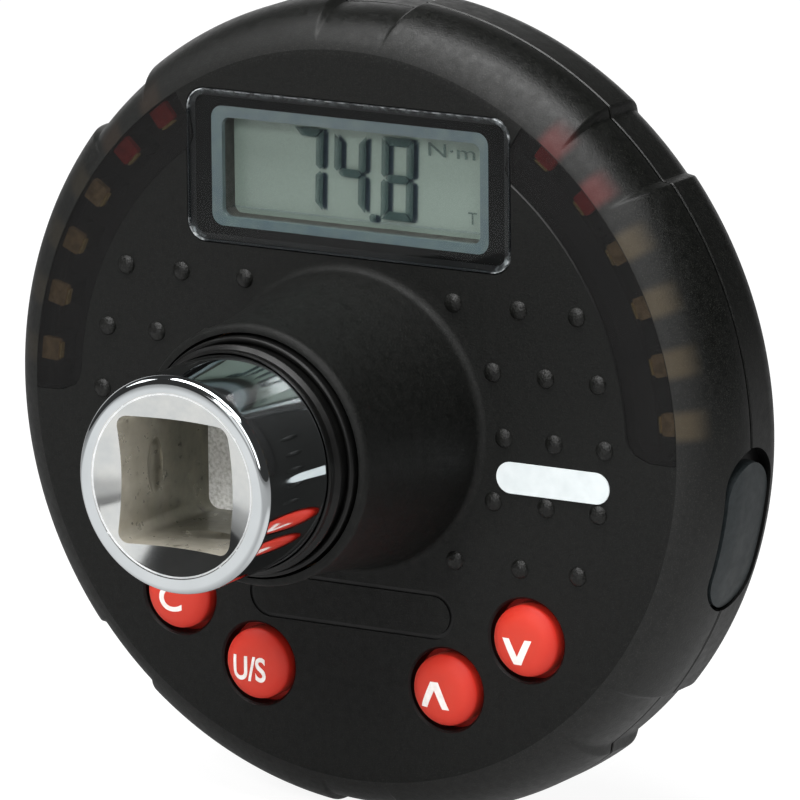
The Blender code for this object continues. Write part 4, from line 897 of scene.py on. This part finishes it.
def make_front_shell():
    """The front shell with its boss, wells, pockets and windows."""
    shell = begin_shell("front_shell", front_profile(), 37.4, PARTING - 1, 0.01)
    middle = (0, WINDOW_Y)
    cutters = [
        plate("pane_pocket", [round_box(37.8, 15.9, 2.1, middle)], 1, -1.5),
        plate("display_opening", [round_box(33.4, 12.6, 0.8, middle)], 1, -3),
        gather("wells", *[well_cutter(4.25, polar(BUTTON_CIRCLE, a), -3) for a in BUTTONS.values()]),
        gather("light_openings", *[
            plate("opening", [light_outline(mirror)], 1, -3) for mirror in (False, True)
        ]),
        plate(
            "engraved_frame",
            [round_box(24.0, 4.9, 2.45, (0, -19.2)), round_box(23.1, 4.0, 2.0, (0, -19.2))], 1, -0.22,
        ),
        pocket_cutter(),
        loft("window_edge", [
            (light_outline(False, 0, 0.25), 0.1), (light_outline(False, 0, 0.15), 0.0),
            (light_outline(False), -0.15), (light_outline(False), -0.3),
        ]),
    ]
    finish_shell(shell, cutters, "front_housing")


def make_rear_shell():
    """The rear shell with its back, rear boss, cover seats and screw wells."""
    outer = [(39.6, -7.22), (RIM - 0.5, -7.22), (RIM - 0.4, -7.5), (RIM - 0.12, -7.5), (RIM, -7.62)]
    outer += arc(RIM - 4, BACK + 4, 4, 0, -90, 16)
    outer += [(34.2, BACK), (34.0, BACK + 0.25), (33.6, BACK + 0.25), (33.4, BACK)]
    outer += [(13.1, BACK), (12.55, BACK - 0.15), (12.2, BACK - 0.5), (12.2, -16.25)]
    outer += arc(11.85, -16.25, 0.35, 0, -90, 4) + [(10.2, -16.6), (10.2, -9.0), (12.2, -9.0)]
    outer += [(12.2, -13.0), (38.0, -13.0), (39.6, -11.5)]
    shell = begin_shell("rear_shell", outer, 38.2, BACK + 0.02, 0)
    seat = [(0, -12.0), (10.3, -12.0), (10.3, -13.7), (11.8, -13.7), (11.8, -14.75), (12.4, -16), (0, -16)]
    seats = [revolve("seat", seat, 96, False, spot) for spot in COVER_SPOTS.values()]
    well = [(0, -12.9), (2.3, -12.9), (2.3, -14.85), (3.3, -16), (0, -16)]
    wells = [revolve("well", well, 48, False, polar(SCREW_CIRCLE, angle)) for angle in SCREW_ANGLES]
    cutters = [gather("seats", *seats), gather("screw_wells", *wells), pocket_cutter()]
    finish_shell(shell, cutters, "rear_housing")


def make_light_windows():
    """The satin windows over the lights, 0.06 mm under the face, and the bars behind their inner parts."""
    for name, mirror in (("light_window_right", False), ("light_window_left", True)):
        window = plate(name, [light_outline(mirror, -0.02)], -0.06, -0.9)
        soften(window, 0.06)
        place(window, "gauge", light_window_finish, "smoked_black_shell")
        outline = sector(31.6, 34.3, LIGHT_START + 1, LIGHT_END - 1)
        outline = mirrored(outline) if mirror else outline
        backing = soften(plate(name + "_backing", [outline], -2.2, -3.0), 0.1)
        place(backing, "gauge", abs_black, "black_plastic")


def make_lights():
    """The twelve light lenses with their gold-plated feet and the stalks under them."""
    spots = {"amber": [], "red": []}
    nodes = {"amber": [], "red": []}
    feet = []
    for side in ("right", "left"):
        for number, degrees in enumerate(LIGHTS, 1):
            angle = math.radians(180 - degrees if side == "left" else degrees)
            kind = "red" if number > 4 else "amber"
            x, y = math.cos(angle), math.sin(angle)
            spots[kind].append((LIGHT_CIRCLE * x, LIGHT_CIRCLE * y, 0.0, angle))
            nodes[kind].append(f"{side}_light_{number}")
            feet.append((35.3 * x, 35.3 * y, 0.0, angle))
    for kind, finish in (("amber", amber_lens), ("red", red_lens)):
        lens = plate("lens", [round_box(2.1, 2.3, 0.25, steps=3)], -1.0, -1.7)
        soften(lens, 0.12)
        lenses = repeat(f"{kind}_lenses", lens, spots[kind], finish)
        place(lenses, "gauge", finish, f"{kind}_light_lens", *sorted(nodes[kind]))
    foot = plate("foot", [round_box(0.22, 1.7, 0.1, steps=2)], -1.0, -1.6)
    place(repeat("lens_feet", foot, feet, lit_gold), "gauge", lit_gold, "gold_plated_contact")
    stalk = plate("stalk", [round_box(1.7, 1.9, 0.2, steps=2)], -1.72, -6.35)
    stalks = repeat("lens_stalks", stalk, spots["amber"] + spots["red"], abs_black)
    place(stalks, "gauge", abs_black, "black_plastic")


def make_dots():
    """The raised dots beside the boss, each a low dome with a worn, spark-textured crown."""
    row_step, first_ring, ring_step = 6.59, 17.96, 5.745
    spots = []
    for row in (-2, -1, 0, 1, 2):
        for ring in range(3):
            y = row * row_step
            x = math.sqrt((first_ring + ring * ring_step) ** 2 - y ** 2)
            for side in (-1, 1):
                spots.append((side * x, y, -0.02, 0.7 * row + 1.3 * ring + side))
    profile = [(0, 0.5), (0.25, 0.485), (0.5, 0.43), (0.72, 0.33), (0.88, 0.2), (0.98, 0.08), (1.06, -0.2)]
    dome = revolve("dome", profile + [(0, -0.2)], 20, False)
    dots = repeat("raised_dots", dome, spots, dot_black)
    place(dots, "gauge", dot_black, "smoked_black_shell", sharp=60)


# Drive shaft.


def make_shaft():
    """The forged shaft: socket, barrel, neck, ring groove and drive square."""
    outer = [(0, MOUTH), (9.4, MOUTH), (10.02, MOUTH)] + arc(10.02, 32.52, 0.88, 80, 0, 10)
    outer += [(10.9, 32.3), (10.9, 2.5), (8.6, 1.4), (7.5, 0.3), (7.5, -6.5), (8.6, -7.6), (8.6, -16.75)]
    outer += [(7.8, -16.75), (7.8, -18.05), (8.6, -18.05), (8.6, -18.2), (8.45, -18.3), (0, -18.3)]
    shaft = revolve("drive_shaft_finished", outer, 160, False)
    square = plate("square", [round_box(SQUARE, SQUARE, 1.2, steps=6)], -18.25, TIP)
    turning = [(0, -16.5), (9.2, -16.5), (9.2, -32.0), (8.9, -32.4), (7.3, TIP), (0, TIP)]
    carve(square, "INTERSECT", revolve("turning", turning, 96, False))
    hole = plate("hole", [round_box(SQUARE + 0.1, SQUARE + 0.1, 1.2, steps=8)], 36, SOCKET_FLOOR)
    chamfer = [(0, 35.4), (14.3, 35.4), (9.36, 33.41), (9.2, 33.38), (9.03, 33.33), (8.88, 33.27), (0, 29.93)]
    mouth = revolve("mouth", chamfer, 160, False)
    ovals = []
    for quarter in range(4):
        bm = bmesh.new()
        made = bmesh.ops.create_uvsphere(bm, u_segments=32, v_segments=16, radius=0.5)["verts"]
        bmesh.ops.scale(bm, verts=made, vec=(1.8, 6.6, 3.2))
        bmesh.ops.translate(bm, verts=made, vec=(5.95, 0, MOUTH - 7.2))
        bmesh.ops.rotate(bm, verts=made, matrix=Matrix.Rotation(math.pi / 2 * quarter, 3, "Z"))
        mesh = bpy.data.meshes.new("oval")
        bm.to_mesh(mesh)
        bm.free()
        ovals.append(hold("oval", mesh))
    bore = revolve("bore", [(0, 8), (2.5, 8), (2.5, -2.6), (0, -2.6)], 48, False)
    bore.data.transform(Matrix.Translation((0, 0, -25.5)) @ Matrix.Rotation(-math.pi / 2, 4, "X"))
    shaft.data.materials.append(chrome)
    square.data.materials.append(turned_steel)
    for cutter, finish in ((hole, broached), (mouth, mouth_chrome), (bore, turned_steel)):
        cutter.data.materials.append(finish)
    detents = gather("detents", *ovals)
    detents.data.materials.append(broached)
    carve(shaft, "UNION", square)
    carve(shaft, "DIFFERENCE", hole)
    carve(shaft, "DIFFERENCE", mouth, detents, bore)
    shaft.data.materials.append(worn_and_highlight_chrome)
    shaft.data.materials.append(bored)
    last = len(shaft.data.materials) - 1
    names = [m.name for m in shaft.data.materials]
    satin = names.index(turned_steel.name)
    for face in shaft.data.polygons:
        if abs(face.center.z - SOCKET_FLOOR) < 0.01 and face.normal.z > 0.9:
            face.material_index = last
        # The mouth's edge takes the pale finish: wear and a painted highlight.
        if 9.0 < math.hypot(face.center.x, face.center.y) < 9.25 and face.center.z > 33.3:
            face.material_index = last - 1
        if face.center.z < -6.4 and names[face.material_index] == chrome.name:
            face.material_index = satin
    place(shaft, "gauge", None, "polished_chrome", "drive_shaft", sharp=25)


def make_ball_and_ring():
    """The detent ball and the open retaining ring."""
    bm = bmesh.new()
    bmesh.ops.create_uvsphere(bm, u_segments=48, v_segments=24, radius=2.35)
    mesh = bpy.data.meshes.new("detent_ball_lapped")
    bm.to_mesh(mesh)
    bm.free()
    ball = hold("detent_ball_lapped", mesh)
    ball.data.transform(Matrix.Translation((0, 5.0, -25.5)))
    place(ball, "ball", ball_steel, "bright_steel", "detent_ball", sharp=60)
    inner, outer, half = 8.1, 10.2, 19.0
    turns = [-90 + half + (360 - 2 * half) * i / 96 for i in range(97)]
    outline = [polar(outer, t) for t in turns] + [polar(inner, t) for t in reversed(turns)]
    ring = plate("retaining_ring_sprung", [outline], -16.9, -17.9)
    ears = [polar(inner + 1.85, -90 + side * (half + 6)) for side in (-1, 1)]
    for ear in ears:
        carve(ring, "UNION", plate("ear", [circle(1.7, ear)], -16.9, -17.9))
    for ear in ears:
        carve(ring, "DIFFERENCE", plate("hole", [circle(0.6, ear, 24)], -16, -19))
    soften(ring, 0.08, 2, 40)
    place(ring, "gauge", spring_steel, "bright_steel", "retaining_ring")


def make_seals():
    """The rubber seals at both ends of the shaft's bearing, the front one with a rounded lip."""
    front = [(11.0, 22.0), (11.12, 22.0), (11.2, 21.85), (11.2, 21.2), (11.28, 21.1), (11.58, 20.8)]
    front += [(11.62, 20.6), (11.56, 20.4), (11.36, 20.15), (11.32, 19.2), (11.42, 18.85)]
    front += arc(11.8, 19.12, 0.32, 190, 0, 10) + [(12.12, 18.5), (12.12, 14.3), (11.0, 14.3)]
    rear = [(8.9, -14.75), (9.9, -14.75), (9.9, -16.5), (9.6, -16.55), (9.45, -16.2), (9.2, -16.5)]
    for end, profile, steps in (("front", front, 160), ("rear", rear + [(8.9, -16.55)], 128)):
        seal = revolve(f"{end}_seal_lipped", profile, steps)
        place(seal, "gauge", rubber, "black_rubber", f"{end}_seal")


# Display.


def seven_segments(x, y, width, height, thick, lit, slant=0.03):
    """The lit segments of one figure, as outlines that slant to the right."""
    w, h, t, g = width, height, thick, 0.1
    m = h / 2
    bars = {
        "a": [(g, h), (w - g, h), (w - t - g, h - t), (t + g, h - t)],
        "d": [(t + g, t), (w - t - g, t), (w - g, 0), (g, 0)],
        "g": [(t * .5 + g, m), (t + g, m + t / 2), (w - t - g, m + t / 2), (w - t * .5 - g, m),
              (w - t - g, m - t / 2), (t + g, m - t / 2)],
        "b": [(w, h - g), (w - t, h - t - g), (w - t, m + t / 2 + g), (w - t * .4, m + g),
              (w, m + t * .4 + g)],
        "c": [(w, g), (w, m - t * .4 - g), (w - t * .4, m - g), (w - t, m - t / 2 - g), (w - t, t + g)],
        "f": [(0, h - g), (0, m + t * .4 + g), (t * .4, m + g), (t, m + t / 2 + g), (t, h - t - g)],
        "e": [(0, g), (t, t + g), (t, m - t / 2 - g), (t * .4, m - g), (0, m - t * .4 - g)],
    }
    return [[(x + px + slant * py, y + py) for px, py in bars[name]] for name in lit]


def figure_outlines():
    """All figures that the display shows."""
    outlines = seven_segments(-7.9, 20.4, 3.5, 8.4, 0.85, "abc")
    outlines += seven_segments(-3.1, 20.6, 3.7, 8.0, 0.85, "fgbc")
    outlines += seven_segments(2.4, 20.3, 3.75, 8.4, 0.85, "abcdefg")
    return outlines + [circle(0.4, (1.5, 20.3), 20)]


def make_pane():
    """The clear pane with its bright edge and its film of adhesive, and the printed mask under it."""
    middle = (0, WINDOW_Y)
    pane = plate("display_pane", [round_box(37.5, 15.6, 2.0, middle, 12)], 0.1, -0.3)
    soften(pane, 0.12)
    place(pane, "gauge", pane_finish, "clear_acrylic", "display_window")
    glue = plate("pane_adhesive", [
        round_box(37.5, 15.6, 2.0, middle, 12), round_box(36.0, 14.2, 1.0, middle, 12),
    ], -0.31, -0.42)
    place(glue, "gauge", adhesive, "clear_acrylic")
    rim = plate("pane_edge", [
        round_box(37.52, 15.62, 2.0, middle, 12), round_box(37.3, 15.4, 1.9, middle, 12),
    ], 0.07, -0.29)
    place(rim, "gauge", pane_edge, "clear_acrylic")
    mask = plate("pane_mask", [
        round_box(36.95, 15.05, 2.9, middle, 5), round_box(32.3, 12.3, 1.3, middle, 8),
    ], -0.35, -1.3)
    place(mask, "gauge", mask_ink, "black_plastic")


def make_display():
    """Border, cell wall and reflector of the liquid crystal cell."""
    middle = (0, WINDOW_Y)
    outer = round_box(32.4, 12.4, 1.3, middle, 8)
    inner = round_box(30.1, 10.2, 0.9, CELL_MIDDLE, 8)
    mesh = bpy.data.meshes.new("display_border")
    count = len(outer)
    points = []
    for outline, level in ((outer, -0.36), (inner, -0.6), (inner, -1.2), (outer, -1.2)):
        points += [(x, y, level) for x, y in outline]
    faces = []
    for level in range(4):
        for i in range(count):
            k = (i + 1) % count
            a, b = level * count, (level + 1) % 4 * count
            faces.append((a + i, a + k, b + k, b + i))
    mesh.from_pydata(points, [], faces)
    border = tidy(hold("display_border", mesh))
    place(border, "gauge", border_ink, "display_grey")
    wall = plate("display_cell_wall", [round_box(31.8, 11.8, 0.6, CELL_MIDDLE, 6), inner], -1.22, -2.95)
    place(wall, "gauge", cell_edge, "display_grey")
    back = plate("display_reflector", [round_box(35.4, 14.1, 0.5, middle, 4)], -2.95, -3.9)
    soften(back, 0.15)
    place(back, "gauge", reflector_finish, "display_grey", "display_cell")


def make_figures():
    """The figures and signs that the display shows, their soft shadows and a painted shade line under them.
    """
    segments = plate("segments", figure_outlines(), -2.4, -2.44)
    unit = words("unit", "N·m", 1.75, Matrix.Identity(4), 0.04)
    fit_to(unit, 5.4, 1.35)
    unit.data.transform(Matrix.Translation((10.75, 27.95, -2.42)))
    letter = words("letter", "T", 1.75, Matrix.Translation((13.1, 21.3, -2.42)), 0.04)
    place(gather("display_figures", segments, unit, letter), "gauge", segment_finish, "display_grey")
    for number, shift in enumerate((0.12, 0.26, 0.40)):
        moved = [[(x + shift, y - 0.12) for x, y in outline] for outline in figure_outlines()]
        level = -2.80 - 0.03 * number
        shade = plate(f"figure_shadow_{number}", moved, level, level - 0.01)
        place(shade, "gauge", shadow_finish, "display_grey")
    # Painted shade: a faint dark line along the foot of the cell's opening.
    line = plate("display_foot_line", [round_box(30.0, 0.2, 0.05, (0, 19.95), 2)], -2.3, -2.4)
    place(line, "gauge", shadow_finish, "display_grey")


# Buttons, label, plug.


CHEVRON = [(-1.6, -1.5), (-0.86, -1.5), (0.0, 0.55), (0.86, -1.5), (1.6, -1.5), (0.42, 1.5), (-0.42, 1.5)]
# What each button shows, how wide and high that is, and how far it sits off the button's middle.
LEGENDS = {
    "clear": ("C", (2.7, 2.8), (-0.5, -0.4)),
    "unit": ("U/S", (3.9, 2.6), (-0.5, -0.4)),
    "up": (CHEVRON, (3.4, 2.75), (-0.75, -0.4)),
    "down": ([(x, -y) for x, y in reversed(CHEVRON)], (3.4, 2.65), (-0.5, -1.0)),
}


def dome_height(radius):
    """The crown of a button over its rim."""
    return 0.1 + 1.0 * (1 - min(1.0, radius / BUTTON_RADIUS) ** 4)


def make_buttons():
    """The four buttons and their printed legends, which follow the domes."""
    edge = BUTTON_RADIUS
    profile = [(edge * i / 14, dome_height(edge * i / 14)) for i in range(14)]
    profile += [(3.63, 0.14), (edge, 0.0), (edge, -2.3), (4.9, -2.3), (4.9, -3.1), (1.5, -3.1), (1.5, -4.0)]
    for name, angle in BUTTONS.items():
        centre = polar(BUTTON_CIRCLE, angle)
        button = revolve(f"{name}_button_cap", profile + [(0, -4.0)], 64, False, centre)
        # The crown value, 1 at the middle of the dome and 0 at its rim, drives the silicone's painted
        # highlight.
        crown = button.data.attributes.new("crown", "FLOAT", "POINT")
        crown.data.foreach_set("value", [
            max(0.0, 1 - math.hypot(v.co.x - centre[0], v.co.y - centre[1]) / edge) ** 0.6
            if v.co.z > 0 else 0.0 for v in button.data.vertices
        ])
        place(button, f"{name}_button", silicone, "red_silicone", f"button_{name}", sharp=40)
        shown, size, offset = LEGENDS[name]
        if isinstance(shown, str):
            legend = words(f"{name}_legend", shown, 3.0, Matrix.Identity(4), 0.06, 0.06)
        else:
            legend = plate(f"{name}_legend", [shown], 0.03, -0.03)
        fit_to(legend, *size)
        cut_fine(legend, 0.35)
        for vert in legend.data.vertices:
            x, y = vert.co.x + offset[0], vert.co.y + offset[1]
            height = dome_height(math.hypot(x, y)) + 0.005 + vert.co.z * 0.5
            vert.co = (centre[0] + x, centre[1] + y, height)
        place(legend, f"{name}_button", ink, "white_label_film")


def make_label():
    """The blank white label on the face."""
    centre = (23.6, -3.9)
    label = plate("blank_label_film", [round_box(12.9, 3.2, 1.58, centre, 12)], 0.14, 0.0)
    soften(label, 0.04, 2, 40)
    place(label, "gauge", label_finish, "white_label_film", "blank_label")


def make_plug():
    """The soft plug in the rim, sunk 0.3 mm under the shape of the rim."""
    pill = plate("port_plug_cap", [round_box(15.4, 7.0, 3.48, (-0.1, -0.2), 16)], RIM + 1, RIM - 4.4)
    cut_fine(pill, 1.0)
    turn_to_rim(pill)
    carve(pill, "INTERSECT", rim_core(0.3, 1, 360))
    place(pill, "port_plug", plug_finish, "grey_soft_plug", "rim_plug")


# Covers and screws.


def make_covers():
    """The two quarter-turn covers with their coin slots and marks."""
    profile = [(0, -11.5), (9.9, -11.5), (9.9, -14.0), (11.4, -14.0), (11.5, -14.1), (11.5, -14.85)]
    profile += [(11.35, -15.0), (9.9, -15.0), (9.75, -14.88), (9.45, -14.88), (9.3, -15.0), (0, -15.0)]
    for name, (x, y) in COVER_SPOTS.items():
        cover = revolve(f"{name}_cover_disc", profile, 128, False, (x, y))
        carve(cover, "DIFFERENCE", plate("slot", [round_box(15.0, 1.8, 0.88, (x, y), 10)], -14.3, -16))
        place(cover, f"{name}_cover", abs_black, "black_plastic", f"battery_cover_{name}")
        corners = [(x - 0.6, y + 7.4), (x + 0.6, y + 7.4), (x, y + 8.6)]
        mark = plate(f"{name}_cover_mark", [corners], -14.95, -15.0)
        place(mark, f"{name}_cover", mark_paint, "black_plastic")


def make_screws():
    """The four cross-recessed case screws in their wells, each turned as far as it happened to go."""
    outline = [(0, 1.0), (1.0, 1.0), (1.0, 0.0), (2.0, 0.0), (2.0, -0.7), (1.85, -0.95), (1.4, -1.25)]
    head = revolve("head", outline + [(0.7, -1.38), (0, -1.4)], 40, False)
    for width, height in ((2.5, 0.55), (0.55, 2.5)):
        carve(head, "DIFFERENCE", plate("arm", [round_box(width, height, 0.12, steps=2)], -0.45, -2))
    spots = []
    for number, angle in enumerate(SCREW_ANGLES):
        x, y = polar(SCREW_CIRCLE, angle)
        spots.append((x, y, BACK + 2.0, 0.5 + 1.1 * number))
    screws = repeat("case_screw_heads", head, spots, zinc)
    place(screws, "gauge", zinc, "bright_steel", *[f"case_screw_{n}" for n in (1, 2, 3, 4)], sharp=35)


def dress_nodes():
    """Finishes for the solids that stay as they are."""
    finishes = (
        (abs_black, "display_holder left_light_bar right_light_bar buzzer rotation_sensor"),
        (abs_black, "switch_clear switch_down switch_unit switch_up"),
        (rubber, "cover_seal_left cover_seal_right"),
        (spring_steel, "detent_spring"),
        (cell_can, "cell_left cell_right data_port"),
        (gold, "cell_contact_left cell_contact_right"),
        (bronze, "front_bush rear_bush"),
        (board_finish, "main_board"),
        (film_finish, "gauge_flex strain_gauge"),
    )
    for finish, names in finishes:
        for name in names.split():
            for socket in frame["nodes"][name].material_slots:
                socket.material = finish


# Studio.


def make_floor():
    """A pale floor that shows white and keeps the gauge's soft shadow."""
    mesh = bpy.data.meshes.new("studio_floor")
    size, level = 6.0, solid_low.z - 0.0002
    corners = [(-size, -size, level), (size, -size, level), (size, size, level), (-size, size, level)]
    mesh.from_pydata(corners, [], [(0, 1, 2, 3)])
    floor = hold("studio_floor", mesh)
    finish = bpy.data.materials.new("studio_paper_matte_white")
    finish.use_nodes = True
    tree = finish.node_tree
    tree.nodes.clear()
    path = add(tree, "ShaderNodeLightPath").outputs
    seen = path["Is Camera Ray"]
    for kind in ("Is Glossy Ray", "Is Transmission Ray"):
        seen = add(tree, "ShaderNodeMath", links={0: seen, 1: path[kind]}, operation="ADD", use_clamp=True)
    spot = add(tree, "ShaderNodeTexCoord").outputs["Object"]
    tooth = add(tree, "ShaderNodeTexNoise", {"Scale": 900.0}, {"Vector": spot})
    shade = add(tree, "ShaderNodeMapRange", {"To Min": 0.78, "To Max": 0.82}, {"Value": tooth})
    paper = add(tree, "ShaderNodeBsdfDiffuse", links={"Color": shade})
    faint = add(tree, "ShaderNodeBsdfDiffuse", {"Color": (0.2, 0.2, 0.2, 1)})
    # Two pale cards on the floor, which only mirrored light meets.
    cards = []
    for middle, inner, outer in (((-0.10, -0.18), 0.10, 0.18), ((0.06, -0.04), 0.02, 0.07)):
        away = add(tree, "ShaderNodeVectorMath", {1: (*middle, level)}, {0: spot}, operation="DISTANCE")
        cards.append(add(
            tree, "ShaderNodeMapRange",
            {"From Min": inner, "From Max": outer, "To Min": 0.60, "To Max": 0.18},
            {"Value": away.outputs["Value"]}, interpolation_type="SMOOTHSTEP",
        ))
    mirrored_light = add(tree, "ShaderNodeMath", links={0: cards[0], 1: cards[1]}, operation="MAXIMUM")
    shares = {0: path["Is Camera Ray"], 2: mirrored_light}
    bright = add(tree, "ShaderNodeMix", {3: 0.9}, shares, data_type="FLOAT")
    glow = add(tree, "ShaderNodeEmission", {"Color": (1, 1, 1, 1)}, {"Strength": bright})
    white = add(tree, "ShaderNodeAddShader", links={0: faint, 1: glow})
    mixed = add(tree, "ShaderNodeMixShader", links={0: seen, 1: paper, 2: white})
    add(tree, "ShaderNodeOutputMaterial", links={"Surface": mixed})
    mesh.materials.append(finish)


def make_world():
    """A white backdrop behind the gauge, a dark studio in front of it, and soft fill."""
    world = bpy.data.worlds.new("studio")
    scene.world = world
    world.use_nodes = True
    tree = world.node_tree
    tree.nodes.clear()
    way = add(tree, "ShaderNodeTexCoord").outputs["Generated"]
    ahead = {1: (-0.50, 0.84, -0.22)}
    facing = add(tree, "ShaderNodeVectorMath", ahead, {0: way}, operation="DOT_PRODUCT").outputs["Value"]
    span = {"From Min": 0.68, "From Max": 0.95, "To Min": 0.04, "To Max": 1.0}
    studio = add(tree, "ShaderNodeMapRange", span, {"Value": facing}, interpolation_type="SMOOTHSTEP")
    path = add(tree, "ShaderNodeLightPath").outputs
    kinds = {0: path["Is Glossy Ray"], 1: path["Is Transmission Ray"]}
    shine = add(tree, "ShaderNodeMath", links=kinds, operation="ADD", use_clamp=True)
    fill = add(tree, "ShaderNodeMix", {2: 0.34}, {0: shine, 3: studio}, data_type="FLOAT")
    light = add(tree, "ShaderNodeMix", {3: 1.0}, {0: path["Is Camera Ray"], 2: fill}, data_type="FLOAT")
    glow = add(tree, "ShaderNodeBackground", {"Color": (1, 1, 1, 1)}, {"Strength": light})
    add(tree, "ShaderNodeOutputWorld", links={"Surface": glow})


def make_lamp(name, low_end, high_end, distance, width, power):
    """A soft box that looks at the gauge, as long as the way between two directions."""
    low_end, high_end = Vector(low_end).normalized(), Vector(high_end).normalized()
    way = (low_end + high_end).normalized()
    along = (high_end - low_end - (high_end - low_end).dot(way) * way).normalized()
    lamp = bpy.data.lights.new(name, "AREA")
    lamp.shape = "RECTANGLE"
    lamp.size = width
    lamp.size_y = 2 * distance * math.tan(low_end.angle(high_end) / 2)
    lamp.energy = power
    obj = bpy.data.objects.new(name, lamp)
    scene.collection.objects.link(obj)
    turned = Matrix((along.cross(way), along, way)).transposed().to_4x4()
    obj.matrix_world = Matrix.Translation(Vector((0, FACE_Y, AXIS_Z)) + way * distance) @ turned


def make_camera():
    """The camera as the photograph was taken, with its long lens."""
    tilt, turn, roll = 0.224, -0.5414, -0.0085
    shift = Vector((-5.2632, 878.0606, -1.5069))
    # The photograph's width, its focal length and its middle, in pixels, and the sensor's width in mm.
    wide, focal, middle_x, middle_y, sensor = 800, 8748.64, 401.678, 403.924, 36
    rx = Matrix.Rotation(tilt, 3, "X")
    rz = Matrix.Rotation(turn, 3, "Z")
    ry = Matrix(((math.cos(roll), 0, math.sin(roll)), (0, 1, 0), (-math.sin(roll), 0, math.cos(roll))))
    back = (ry @ rx @ rz).transposed()
    spot = -(back @ shift)
    data = bpy.data.cameras.new("camera")
    data.lens = focal / wide * sensor
    data.sensor_width = sensor
    data.shift_x = (wide / 2 - middle_x) / wide
    data.shift_y = (middle_y - wide / 2) / wide
    data.clip_start = 0.05
    data.clip_end = 50
    camera = bpy.data.objects.new("camera", data)
    scene.collection.objects.link(camera)
    right, forward, up = back.col
    turned = Matrix((right, up, -forward)).transposed().to_4x4()
    where = Vector((spot.x / 1000, spot.y / 1000 + FACE_Y, spot.z / 1000 + AXIS_Z))
    camera.matrix_world = Matrix.Translation(where) @ turned
    scene.camera = camera


make_front_shell()
make_rear_shell()
make_light_windows()
make_lights()
make_dots()
make_shaft()
make_ball_and_ring()
make_seals()
make_pane()
make_display()
make_figures()
make_buttons()
make_label()
make_plug()
make_covers()
make_screws()
dress_nodes()
make_floor()
make_world()
make_lamp("key", (0.52, -0.83, 0.08), (0.24, -0.70, 0.68), 0.6, 0.18, 0.75)
make_lamp("top", (-0.50, -0.20, 0.84), (0.56, -0.28, 0.78), 0.6, 0.24, 4.6)
make_lamp("front", (-0.04, -1.0, 0.0), (-0.04, -0.92, 0.39), 0.7, 0.30, 0.25)
make_lamp("high_left", (-0.82, -0.30, 0.48), (-0.72, -0.20, 0.66), 0.6, 0.20, 0.3)
make_lamp("pane_glint", (-0.03, -0.84, 0.40), (0.07, -0.84, 0.66), 0.6, 0.11, 1.2)
make_camera()
scene.view_settings.view_transform = "Standard"
